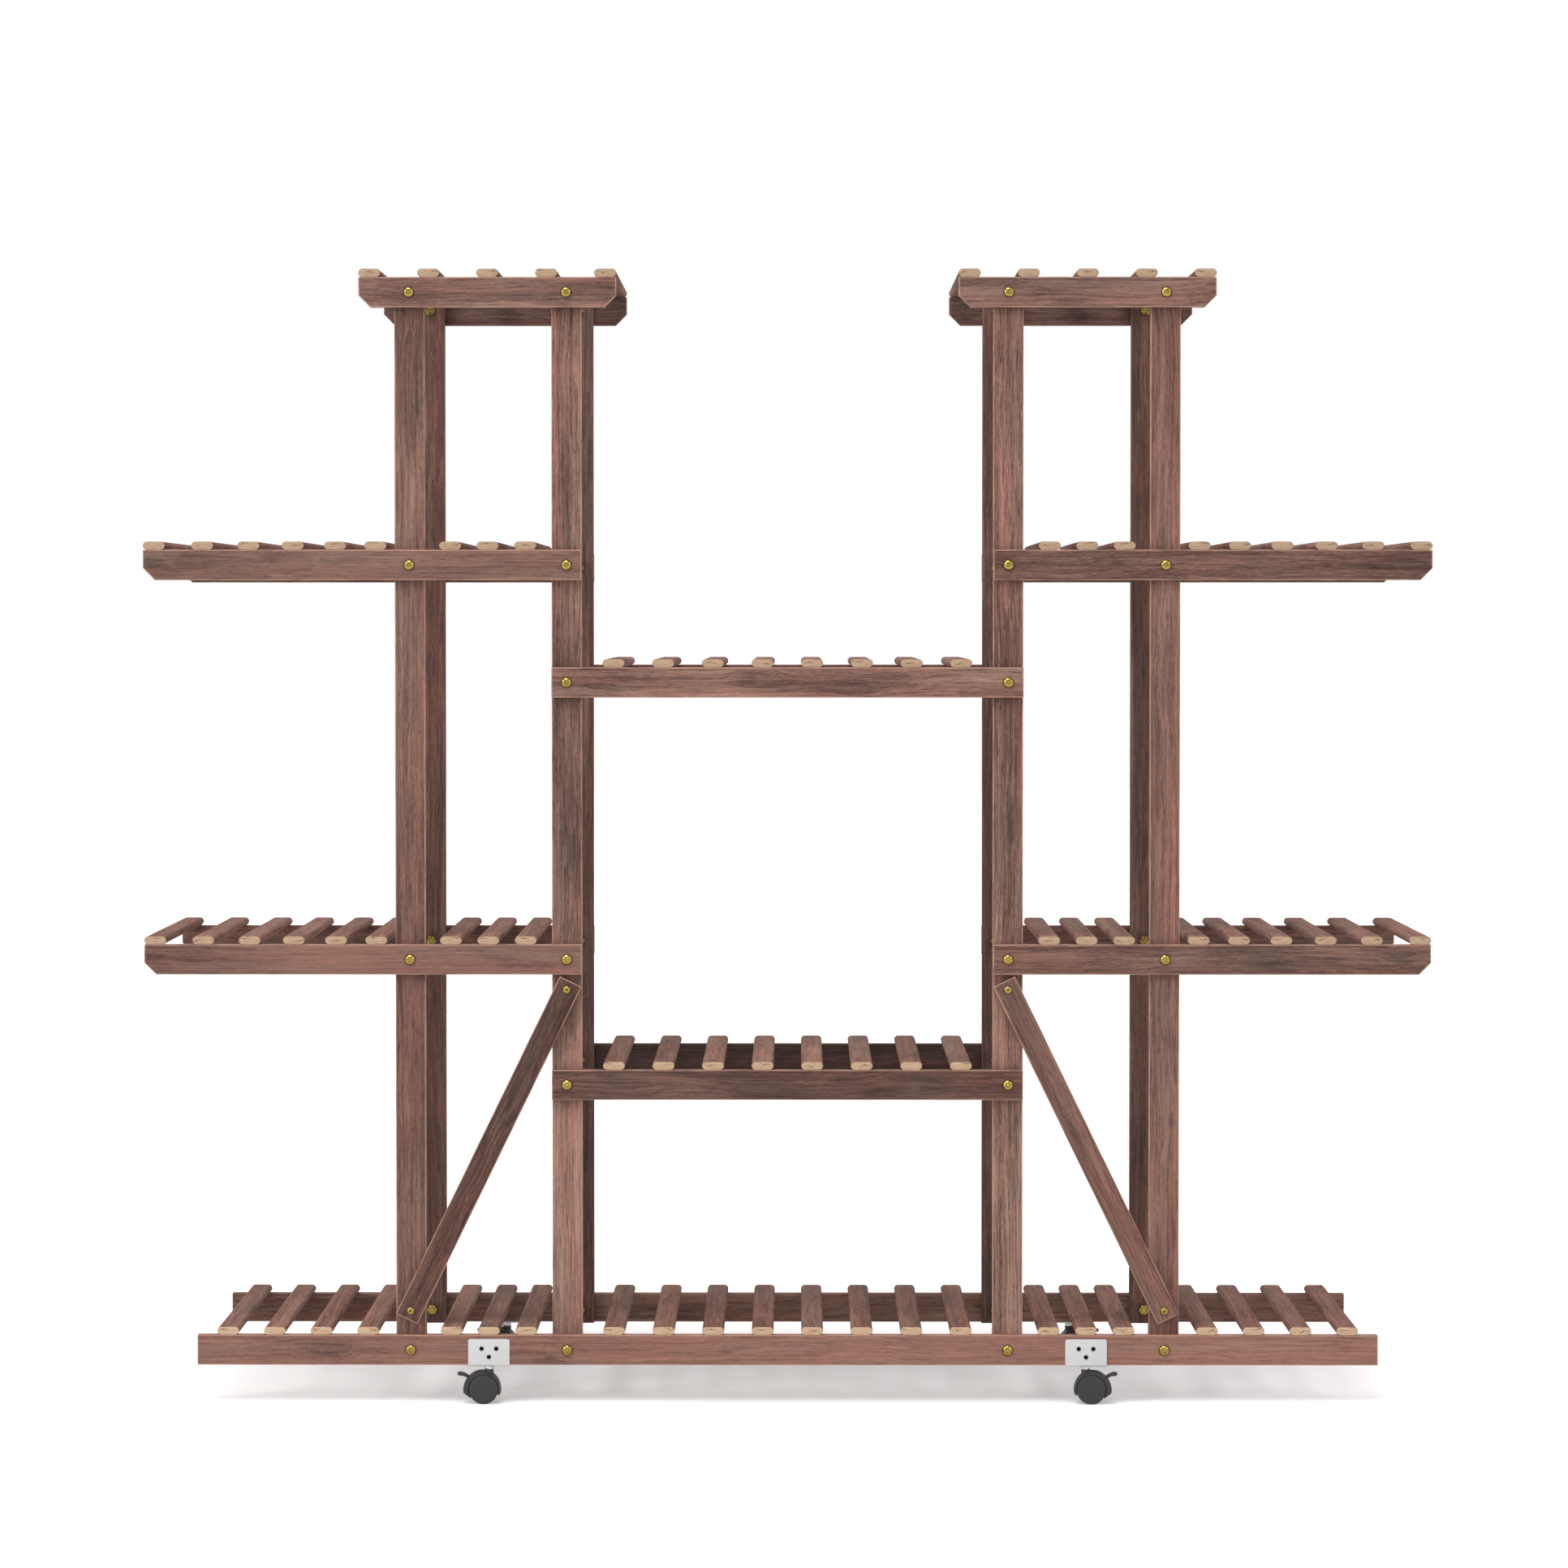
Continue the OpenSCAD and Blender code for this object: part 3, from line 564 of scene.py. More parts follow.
def coat(graph, shader, base, fine, rough, strength, distance, metallic=0.0):
    """An even finish whose gloss and fine relief follow one noise."""
    graph.feed(shader, {
        "Base Color": base, "Metallic": metallic,
        "Roughness": graph.ramp(fine, 0.3, 0.7, *rough, smooth=False),
        "Normal": graph.bump(fine, strength, distance)})


def metal(name, tint, rough, spread=0.08, rim=0.0):
    """Plated or polished metal with slightly uneven gloss, and painted shade in a ring at a head's
    rim and in one round its socket.
    """
    graph, shader = new_material(name)
    place = graph.object_place()
    fine = graph.noise(place, 900.0, detail=3.0)
    wide = graph.noise(place, 160.0)
    base = graph.mix(graph.ramp(wide, 0.35, 0.7, 0.0, 0.6), tint, shade(tint, 0.72))
    # Painted shade: a ring darkening towards a head's edge stands in for the dark reflection and
    # contact shadow there, and a ring round the socket's mouth stands in for the shade inside it
    if rim > 0.0:
        turn = graph.attribute("turn", "Fac")
        outer = graph.ramp(turn, 0.72, 0.97, 0.0, rim)
        inner = graph.ramp(abs(turn - 0.36), 0.16, 0.05, 0.0, rim)
        base = graph.mix(outer.at_least(inner), base, shade(tint, 0.42, 0.36, 0.34))
    coat(graph, shader, base, fine, (rough - spread, rough + spread), strength=0.25,
         distance=0.00003, metallic=1.0)


def coated_sheet(tint):
    """Powder-coated steel sheet, smooth with a very fine texture."""
    graph, shader = new_material("bracket_coat")
    place = graph.object_place()
    skin = graph.noise(place, 2600.0)
    cloud = graph.noise(place, 45.0)
    base = graph.mix(cloud, tint, shade(tint, 0.94))
    coat(graph, shader, base, skin, (0.30, 0.40), strength=0.25, distance=0.00004,
         metallic=0.15)


def moulded(name, tint, rough):
    """Moulded nylon with a fine spark-eroded grain."""
    graph, shader = new_material(name)
    place = graph.object_place()
    pits = graph.noise(place, 1500.0, detail=3.0)
    flow = graph.noise(place, 70.0, detail=3.0)
    base = graph.mix(graph.ramp(flow, 0.35, 0.7), tint, shade(tint, 1.22))
    coat(graph, shader, base, pits, (rough - 0.05, rough + 0.06), strength=0.3,
         distance=0.00006)


def stand_materials(scene):
    """Makes the stand's materials once and returns them by finish."""
    if "board_stain" in bpy.data.materials:
        return bpy.data.materials
    timber, hardware, caster = scene.stand_timber, scene.stand_metal, scene.stand_caster
    stained_wood("board_stain", timber, board_edge, MARKS, smudge=0.55, gloss=0.16)
    stained_wood("slat_stain", timber, slat_edge, (), smudge=0.62, gloss=0.03)
    bare_end(timber)
    metal("brass_finish", hardware.brass, rough=0.18, spread=0.05, rim=0.9)
    metal("plated_finish", hardware.plated, rough=0.24)
    metal("nail_finish", hardware.steel, rough=0.4)
    metal("black_finish", hardware.blackened, rough=0.42)
    coated_sheet(hardware.painted)
    moulded("caster_shell", caster.shell, rough=0.50)
    moulded("caster_face", caster.face, rough=0.56)
    return bpy.data.materials


def place_piece(mesh, node, material=None, body="frame"):
    """Links a finished mesh to the scene, attaches it to its body and hides the CAD node that it
    stands in for.
    """
    piece = bpy.data.objects.new(mesh.name, mesh)
    bpy.context.scene.collection.objects.link(piece)
    if material is not None:
        mesh.materials.append(material)
    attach(piece, body)
    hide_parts(node)


def smooth(mesh, degrees):
    """Shades a mesh smooth up to the given angle."""
    mesh.shade_smooth()
    mesh.set_sharp_from_angle(angle=math.radians(degrees))
    return mesh


def mesh_from(name, shape, sharp):
    """Turns a bmesh into a mesh that is smooth up to the given angle."""
    bmesh.ops.recalc_face_normals(shape, faces=shape.faces)
    mesh = bpy.data.meshes.new(name)
    shape.to_mesh(mesh)
    shape.free()
    return smooth(mesh, sharp)


def store(mesh, name, values):
    """Stores a number or a vector for each vertex, or the same one for all of them."""
    count = len(mesh.vertices)
    if np.shape(values)[-1:] == (3,):
        kind, field, size = "FLOAT_VECTOR", "vector", (count, 3)
    else:
        kind, field, size = "FLOAT", "value", count
    rows = np.empty(size, dtype=np.float32)
    rows[...] = values
    mesh.attributes.new(name, kind, "POINT").data.foreach_set(field, rows.ravel())


def outline_of(points):
    """Corners of a flat board seen along Y, counter-clockwise, without the points between."""
    flat = [Vector(p) for p in np.unique(np.round(points[:, [0, 2]], 5), axis=0)]
    ring = [flat[i] for i in convex_hull_2d(flat)]
    corners = []
    for i, here in enumerate(ring):
        before, after = ring[i - 1], ring[(i + 1) % len(ring)]
        turn = (here - before).normalized().cross((after - here).normalized())
        if abs(turn) > 0.02:
            corners.append(here)
    return corners


def bevel(shape, edges, offset, segments, **settings):
    return bmesh.ops.bevel(
        shape, geom=edges, offset=offset, offset_type="OFFSET", segments=segments,
        profile=0.5, affect="EDGES", clamp_overlap=True, **settings)


def board_mesh(name, node, timber, draw):
    """A board with eased arrises, and the attributes that its stain follows."""
    points = vertices(frame["nodes"][node].data)
    low, high = points[:, 1].min(), points[:, 1].max()
    corners = outline_of(points)
    sides = [(corners[(i + 1) % len(corners)] - c) for i, c in enumerate(corners)]
    along = max(sides, key=lambda s: s.length).normalized()
    if along.x < -0.1 or (abs(along.x) <= 0.1 and along.y < 0):
        along = -along
    across = Vector((-along.y, along.x))
    centre = middle(points)

    shape = bmesh.new()
    face = shape.faces.new([shape.verts.new((c.x, low, c.y)) for c in corners])
    moved = bmesh.ops.extrude_face_region(shape, geom=[face])
    for vertex in (v for v in moved["geom"] if isinstance(v, bmesh.types.BMVert)):
        vertex.co.y = high
    bmesh.ops.recalc_face_normals(shape, faces=shape.faces)
    rounded = set(bevel(shape, list(shape.edges), timber.arris, segments=2)["faces"])
    flats = [f for f in shape.faces if f not in rounded]
    rim = shape.verts.layers.float.new("rim")
    for vertex in shape.verts:
        vertex[rim] = 0.5 if "rear" in node else 1.0
    bmesh.ops.inset_individual(
        shape, faces=flats, thickness=timber.worn_band, use_even_offset=True)
    for face in flats:
        for vertex in face.verts:
            vertex[rim] = 0.0
    tones, redness, marks = BOARDS[node]
    reach = [(c.x - centre[0]) * along.x + (c.y - centre[2]) * along.y for c in corners]
    start, size = min(reach), max(reach) - min(reach)
    heading = Vector((along.x, 0.0, along.y))
    for i in range(1, len(tones) - 1):
        spot = Vector(centre) + heading * (start + size * i / (len(tones) - 1))
        bmesh.ops.bisect_plane(shape, geom=[*shape.verts, *shape.edges, *shape.faces],
                               plane_co=spot, plane_no=heading)
    mesh = mesh_from(name, shape, sharp=32)
    spots = vertices(mesh) - centre
    spots = np.stack([
        spots[:, 0] * along.x + spots[:, 2] * along.y,
        spots[:, 0] * across.x + spots[:, 2] * across.y,
        spots[:, 1]], axis=1)
    half = np.abs(spots[:, 1]).max()
    shift = np.array([draw.uniform(-8, 8), draw.uniform(-2, 2), draw.uniform(-2, 2)])
    store(mesh, "grain", spots + shift)
    store(mesh, "spot", spots)
    store(mesh, "tone", np.interp(
        (spots[:, 0] - start) / size, np.linspace(0, 1, len(tones)), tones))
    store(mesh, "red", redness)
    store(mesh, "streak", STREAKY.get(node, 0.0))
    placed = [(start + size * m[0], half * m[1], m[2]) for m in marks] + [NO_MARK, NO_MARK]
    for label, mark in zip(MARKS, placed):
        store(mesh, label, mark)
    return mesh


class SceneBoards(bpy.types.Operator):
    """Build the posts, rails and braces as eased, stained boards"""

    bl_idname = "plant_stand.boards"
    bl_label = "Build boards"

    def execute(self, context):
        scene = context.scene
        materials = stand_materials(scene)
        timber = scene.stand_timber
        draw = random.Random(timber.seed)
        for node in BOARDS:
            mesh = board_mesh(f"board_{node}", node, timber, draw)
            place_piece(mesh, node, materials["board_stain"])
        return {"FINISHED"}


def new_tree(name, inputs):
    """A geometry node tree whose inputs are given by kind; returns its graph and inputs."""
    tree = bpy.data.node_groups.new(name, "GeometryNodeTree")
    for way in ("INPUT", "OUTPUT"):
        tree.interface.new_socket("Geometry", in_out=way, socket_type="NodeSocketGeometry")
    for kind, labels in inputs.items():
        for label in labels:
            tree.interface.new_socket(label, in_out="INPUT", socket_type=f"NodeSocket{kind}")
    graph = Graph(tree)
    given = graph.add("NodeGroupInput").outputs
    return graph, {socket.name: Value(graph, socket) for socket in given}


def end_tree(graph, geometry, finish, end_finish=None, is_end=True):
    """Realizes the copies and sets their material, and another one for the ends."""
    result = graph.get("GeometryNodeRealizeInstances", {0: geometry})
    result = graph.get("GeometryNodeSetMaterial", {"Geometry": result, "Material": finish})
    if end_finish is not None:
        result = graph.get("GeometryNodeSetMaterial", {
            "Geometry": result, "Material": end_finish, "Selection": is_end})
    graph.add("NodeGroupOutput", {"Geometry": result})
    return graph.tree


def grown(name, tree, points, values, vectors=None):
    """Runs a tree on loose points and returns the plain mesh that it makes."""
    seeds = bpy.data.meshes.new(f"{name}_points")
    seeds.from_pydata([tuple(p) for p in points], [], [])
    for label, rows in (vectors or {}).items():
        store(seeds, label, rows)
    maker = bpy.data.objects.new(f"{name}_maker", seeds)
    bpy.context.scene.collection.objects.link(maker)
    modifier = maker.modifiers.new(name, "NODES")
    modifier.node_group = tree
    sockets = {item.name: item.identifier for item in tree.interface.items_tree
               if item.item_type == "SOCKET" and item.in_out == "INPUT"}
    for label, value in values.items():
        modifier[sockets[label]] = value
    bpy.context.view_layer.update()
    depsgraph = bpy.context.evaluated_depsgraph_get()
    mesh = bpy.data.meshes.new_from_object(
        maker.evaluated_get(depsgraph), preserve_all_data_layers=True, depsgraph=depsgraph)
    mesh.name = name
    maker.modifiers.remove(modifier)
    bpy.data.objects.remove(maker)
    bpy.data.meshes.remove(seeds)
    if len(mesh.polygons) == 0:
        raise RuntimeError(f"{name}: the tree made no faces")
    return mesh


def moved(solid, *place):
    """Moves every point of a solid to a place that the graph works out from its own."""
    return solid.graph.get("GeometryNodeSetPosition", {
        "Geometry": solid, "Position": solid.graph.join(*place)})


def raised(solid, height):
    return solid.graph.get("GeometryNodeTransform", {
        "Geometry": solid, "Translation": solid.graph.join(0.0, 0.0, height)})


def cylinder(graph, corners, radius, depth, rows=1):
    return graph.get("GeometryNodeMeshCylinder", {
        "Vertices": corners, "Side Segments": rows, "Fill Segments": 1, "Radius": radius,
        "Depth": depth}, "Mesh", fill_type="NGON")


def kept(geometry, name, value, kind="FLOAT_VECTOR", domain="POINT"):
    return geometry.graph.get("GeometryNodeStoreNamedAttribute", {
        "Geometry": geometry, "Name": name, "Value": value}, data_type=kind, domain=domain)


def kept_vector(graph, name):
    return graph.get("GeometryNodeInputNamedAttribute", {"Name": name},
                     data_type="FLOAT_VECTOR")


def on_points(points, solid, **rotation):
    return points.graph.get("GeometryNodeInstanceOnPoints", {
        "Points": points, "Instance": solid, **rotation})


def slat_tree():
    """Rows of slats with round long edges and eased ends, one slat on each point."""
    graph, given = new_tree("Slat row", {
        "Float": ("Width", "Thickness", "Length", "Ease"), "Int": ("Seed",),
        "Material": ("Stain", "End wood")})
    width, thickness, ease = given["Width"], given["Thickness"], given["Ease"]
    half_length, half_thickness = given["Length"] * 0.5, thickness * 0.5

    # All places along a slat lie within the ease of its two ends
    count = 8
    line = graph.get("GeometryNodeCurvePrimitiveLine")
    line = graph.get("GeometryNodeResampleCurve", {"Curve": line, "Count": count})
    index = graph.get("GeometryNodeInputIndex")
    from_end = index.at_most((count - 1.0) - index)
    inset = (from_end / (count / 2 - 1)) ** 2.0 * ease
    sign = index.over((count - 1) / 2) * 2.0 - 1.0
    line = moved(line, 0.0, sign * (half_length - inset), 0.0)
    section = graph.get("GeometryNodeCurvePrimitiveQuadrilateral", {
        "Width": width, "Height": thickness})
    section = graph.get("GeometryNodeFilletCurve", {
        "Curve": section, "Radius": half_thickness * 0.999, "Count": 7}, mode="POLY")
    slat = graph.get("GeometryNodeCurveToMesh", {
        "Curve": line, "Profile Curve": section, "Fill Caps": True})

    # Near an end the section is pulled in along a quarter circle
    place = graph.get("GeometryNodeInputPosition")
    x, y, z = graph.split(place)
    left = (ease - (half_length - abs(y))).at_least(0.0)
    pull = ease - graph.math("SQRT", ease * ease - left * left)
    straight = width * 0.5 - half_thickness
    x_near = x.at_least(straight * -1.0).at_most(straight)
    outward = graph.vector("NORMALIZE", graph.join(x - x_near, 0.0, z))
    offset = graph.get("ShaderNodeVectorMath", {0: outward, "Scale": pull * -1.0},
                       operation="SCALE")
    slat = graph.get("GeometryNodeSetPosition", {"Geometry": slat, "Offset": offset})

    # Each slat takes its grain from a place of its own, and a tone
    row = on_points(given["Geometry"], kept(slat, "place", place))
    shift = graph.get("FunctionNodeRandomValue", {
        0: (-6.0, -2.0, -2.0), 1: (6.0, 2.0, 2.0), "Seed": given["Seed"]}, 0,
        data_type="FLOAT_VECTOR")
    tone = graph.get("FunctionNodeRandomValue", {
        2: -0.2, 3: 0.35, "Seed": given["Seed"] + 91.0}, 1, data_type="FLOAT")
    row = kept(row, "shift", shift, domain="INSTANCE")
    row = kept(row, "tone", tone, "FLOAT", "INSTANCE")
    row = graph.get("GeometryNodeRealizeInstances", {0: row})
    x, y, z = graph.split(kept_vector(graph, "place"))
    grain = graph.vector("ADD", graph.join(y, x, z), kept_vector(graph, "shift"))
    row = kept(row, "grain", grain)
    facing = abs(graph.split(graph.get("GeometryNodeInputNormal"))[1])
    is_end = graph.get("FunctionNodeCompare", {0: facing, 1: 0.95}, data_type="FLOAT",
                       operation="GREATER_THAN")
    return end_tree(graph, row, given["Stain"], given["End wood"], is_end)


class SceneSlats(bpy.types.Operator):
    """Build the rows of slats of the nine shelves"""

    bl_idname = "plant_stand.slats"
    bl_label = "Build slats"

    def execute(self, context):
        scene = context.scene
        materials = stand_materials(scene)
        timber = scene.stand_timber
        tree = slat_tree()
        for row, shelf in enumerate(SHELVES):
            level, *side = shelf.rsplit("_", 1) if shelf.endswith(SIDES) else (shelf,)
            node = "_".join([level, "slats", *side])
            centres = [middle(solid) for solid in solids(node)]
            mesh = grown(f"slats_{shelf}", tree, centres, {
                "Width": timber.slat_width, "Thickness": timber.slat_thickness,
                "Length": timber.slat_depth, "Ease": timber.slat_ease,
                "Seed": timber.seed + 10 * row, "Stain": materials["slat_stain"],
                "End wood": materials["bare_slat_end"]})
            store(mesh, "red", timber.slat_red)
            # Painted shade factor of this shelf's slat ends
            store(mesh, "end_tone", END_SHADES[level])
            place_piece(smooth(mesh, degrees=40), node)
        return {"FINISHED"}


def turned_head(graph, diameter, height, waist, top_share):
    """A turned head on the plane z = 0: straight to the waist, then domed to its top.

    It stores how far each point is from the axis, 1 at the rim."""
    x, y, z = graph.split(graph.get("GeometryNodeInputPosition"))
    level = z / height + 0.5
    above = ((level - waist) / (1.0 - waist)).at_least(0.0)
    narrow = 1.0 - above ** 2.0 * (1.0 - top_share)
    head = moved(cylinder(graph, 40, diameter * 0.5, height, rows=8),
                 x * narrow, y * narrow, level * height)
    return kept(head, "turn", graph.reach(x, y) / (diameter * 0.5), "FLOAT")


def shank_below(graph, diameter, depth, point):
    """A shank that runs down from z = 0; its tip narrows to the point's share, if under 1."""
    straight = depth if point == 1.0 else depth - BOLT_TIP
    shank = cylinder(graph, 24, diameter * 0.5, straight)
    shank = raised(shank, straight * -0.5)
    if point == 1.0:
        return shank
    tip = graph.get("GeometryNodeMeshCone", {
        "Vertices": 24, "Side Segments": 1, "Fill Segments": 1,
        "Radius Top": diameter * 0.5, "Radius Bottom": diameter * (0.5 * point),
        "Depth": BOLT_TIP}, "Mesh", fill_type="NGON")
    return joined(shank, raised(tip, depth * -1.0))


def cut_away(solid, *tools):
    return solid.graph.get("GeometryNodeMeshBoolean", {
        "Mesh 1": solid, "Mesh 2": list(tools)}, "Mesh", operation="DIFFERENCE")


def joined(*parts):
    return parts[0].graph.get("GeometryNodeJoinGeometry", {0: list(parts)})


def along_outward(points, solid):
    """Puts the solid on every point with its Z along the point's outward direction."""
    turn = points.graph.get("FunctionNodeAlignRotationToVector", {
        "Vector": kept_vector(points.graph, "outward")}, axis="Z")
    return on_points(points, solid, Rotation=turn)


def hexagon(graph, flats, rise):
    """The tool that cuts a hexagon socket into a head."""
    return [raised(cylinder(graph, 6, flats / ACROSS_FLATS, rise * 1.4), rise)]


def cross(graph, size, rise):
    """The two blades that cut a cross recess into a head."""
    slim, deep = size * 0.28, rise * 0.22
    blades = [graph.get("GeometryNodeMeshCube", {"Size": graph.join(*flat, deep)}, "Mesh")
              for flat in ((size, slim), (slim, size))]
    return [raised(blade, rise) for blade in blades]


def screw_tree(name, recess, waist, top_share, point=1.0):
    """Screws with a domed head, a recess for the driver and a plain shank."""
    graph, given = new_tree(name, {
        "Float": ("Head Diameter", "Head Height", "Recess", "Shank Diameter", "Shank Length"),
        "Material": ("Finish",)})
    rise = given["Head Height"]
    head = turned_head(graph, given["Head Diameter"], rise, waist, top_share)
    head = cut_away(head, *recess(graph, given["Recess"], rise))
    shank = shank_below(graph, given["Shank Diameter"], given["Shank Length"], point)
    screws = along_outward(given["Geometry"], joined(head, shank))
    return end_tree(graph, screws, given["Finish"])


def nut_tree():
    """Hexagon nuts with rounded-off corners, standing out from each point."""
    graph, given = new_tree("Hexagon nuts", {
        "Float": ("Flats", "Thickness", "Bore"), "Material": ("Finish",)})
    flats, thickness = given["Flats"], given["Thickness"]
    block = cylinder(graph, 6, flats / ACROSS_FLATS, thickness)
    x, y, z = graph.split(graph.get("GeometryNodeInputPosition"))
    trim = 1.0 - (abs(z / thickness) - 0.28).at_least(0.0) * 0.95
    turning = moved(cylinder(graph, 40, flats * 0.57, thickness * 1.002, rows=8),
                    x * trim, y * trim, z)
    nut = graph.get("GeometryNodeMeshBoolean", {"Mesh 2": [block, turning]}, "Mesh",
                    operation="INTERSECT")
    nut = cut_away(nut, cylinder(graph, 24, given["Bore"] * 0.5, thickness * 2.0))
    nut = raised(nut, thickness * 0.5)
    return end_tree(graph, along_outward(given["Geometry"], nut), given["Finish"])


def seats(node, rise, facing):
    """Where the solids of a fastener node sit: points under each head or nut, and directions.

    facing is 1 where the piece faces away from the middle of the stand, and -1 towards it."""
    points, outward = [], []
    for solid in solids(node):
        centre = middle(solid)
        way = -1 if (centre[1] < 0) == (facing > 0) else 1
        tip = ends(solid)[0 if way < 0 else 1][1]
        points.append((centre[0], tip - way * rise, centre[2]))
        outward.append((0.0, way, 0.0))
    return points, {"outward": outward}


class SceneFasteners(bpy.types.Operator):
    """Build the frame bolts, nuts, brace screws and bracket screws"""

    bl_idname = "plant_stand.fasteners"
    bl_label = "Build fasteners"

    def execute(self, context):
        scene = context.scene
        materials = stand_materials(scene)
        sizes = scene.stand_metal
        brass, black = materials["brass_finish"], materials["black_finish"]
        bolts = screw_tree("Socket bolts", hexagon, waist=0.12, top_share=0.50, point=0.78)
        screws = screw_tree("Cross screws", cross, waist=0.15, top_share=0.55)
        self.screws("bolts_frame", "frame_bolts", bolts, "brass", brass, sizes.bolt_head,
                    sizes.bolt_rise, sizes.bolt_socket, sizes.bolt_shank)
        self.place("nuts_frame", "frame_nuts", nut_tree(), "brass", sizes.nut_thickness, -1, {
            "Flats": sizes.nut_flats, "Thickness": sizes.nut_thickness,
            "Bore": sizes.bolt_shank, "Finish": brass})
        for name, node, slot, finish, head, rise in (
            ("screws_brace", "brace_screws", "brass", brass, sizes.brace_head,
             sizes.brace_rise),
            ("screws_bracket", "bracket_screws", "black_screw", black, sizes.plate_head,
             sizes.plate_rise),
        ):
            self.screws(name, node, screws, slot, finish, head, rise, head * 0.5, head * 0.45)
        for node in ("slat_nails", *(f"axle_{corner}" for corner in CORNERS)):
            for place in frame["nodes"][node].material_slots:
                place.material = materials["nail_finish"]
        return {"FINISHED"}

    def screws(self, name, node, tree, slot, finish, head, rise, recess, shank):
        deep = float(np.ptp(solids(node)[0][:, 1])) - rise
        self.place(name, node, tree, slot, rise, 1, {
            "Head Diameter": head, "Head Height": rise, "Recess": recess,
            "Shank Diameter": shank, "Shank Length": deep, "Finish": finish})

    @staticmethod
    def place(name, node, tree, slot, rise, facing, values):
        points, directions = seats(node, rise, facing)
        mesh = grown(name, tree, points, values, directions)
        place_piece(smooth(mesh, degrees=34), node)


def bracket_mesh(name, solid, sizes):
    """Bent sheet: an upright plate with two round corners, a bend and a lip under the rail."""
    low, high = ends(solid)
    front = middle(solid)[1] < 0
    outer, inner = (low[1], high[1]) if front else (high[1], low[1])
    inward = 1.0 if front else -1.0
    x_mid, half = (low[0] + high[0]) / 2, (high[0] - low[0]) / 2
    corner, bend, sheet = sizes.sheet_corner, sizes.sheet_bend, sizes.sheet
    turns = [math.pi / 2 * i / 8 for i in range(9)]
    path = [(outer, high[2] - corner * (1 - math.cos(turn)),
             half - corner * (1 - math.sin(turn)), (1.0, 0.0)) for turn in turns]
    path += [(outer + inward * bend * (1 - math.cos(turn)), low[2] + bend * (1 - math.sin(turn)),
              half, (math.cos(turn), math.sin(turn))) for turn in turns]
    path.append((inner, low[2], half, (0.0, 1.0)))
    shape = bmesh.new()
    grid = []
    for y, z, w, (toward_y, toward_z) in path:
        row = []
        for x in (x_mid - w, x_mid + w):
            skin = shape.verts.new((x, y, z))
            back = shape.verts.new((x, y + inward * sheet * toward_y, z + sheet * toward_z))
            row.append((skin, back))
        grid.append(row)
    for ((a, a2), (b, b2)), ((c, c2), (d, d2)) in zip(grid, grid[1:]):
        for corners in ((a, b, d, c), (c2, d2, b2, a2), (a, c, c2, a2), (b, b2, d2, d)):
            shape.faces.new(corners)
    (a, a2), (b, b2) = grid[0]
    shape.faces.new((a, a2, b2, b))
    (a, a2), (b, b2) = grid[-1]
    shape.faces.new((a, b, b2, a2))
    bmesh.ops.recalc_face_normals(shape, faces=shape.faces)
    sharp = [e for e in shape.edges if e.calc_face_angle(0) > math.radians(50)]
    bevel(shape, sharp, sizes.sheet_ease, segments=3)
    bmesh.ops.remove_doubles(shape, verts=shape.verts, dist=1e-6)
    return mesh_from(name, shape, sharp=40)


def eased_copy(name, node, ease):
    """A copy of a CAD node's mesh, merged, with its hard edges rounded."""
    shape = bmesh.new()
    shape.from_mesh(frame["nodes"][node].data)
    bmesh.ops.remove_doubles(shape, verts=shape.verts, dist=2e-6)
    bmesh.ops.dissolve_limit(shape, angle_limit=math.radians(0.6), verts=shape.verts,
                             edges=shape.edges, delimit={"NORMAL"})
    hard = [e for e in shape.edges
            if len(e.link_faces) == 2 and e.calc_face_angle(0) > math.radians(33)]
    bevel(shape, hard, ease, segments=2, loop_slide=True)
    bmesh.ops.remove_doubles(shape, verts=shape.verts, dist=1e-6)
    bmesh.ops.triangulate(shape, faces=[f for f in shape.faces if len(f.verts) > 4])
    return mesh_from(name, shape, sharp=40)


class SceneBrackets(bpy.types.Operator):
    """Build the bent sheet brackets and the stems that the casters turn on"""

    bl_idname = "plant_stand.brackets"
    bl_label = "Build brackets"

    def execute(self, context):
        scene = context.scene
        materials = stand_materials(scene)
        sizes = scene.stand_metal
        whole = bmesh.new()
        for solid in solids("caster_brackets"):
            whole.from_mesh(bracket_mesh("bracket_part", solid, sizes))
        place_piece(mesh_from("brackets", whole, sharp=40), "caster_brackets",
                    materials["bracket_coat"])
        place_piece(eased_copy("stems", "caster_stems", sizes.stem_ease), "caster_stems",
                    materials["plated_finish"])
        return {"FINISHED"}


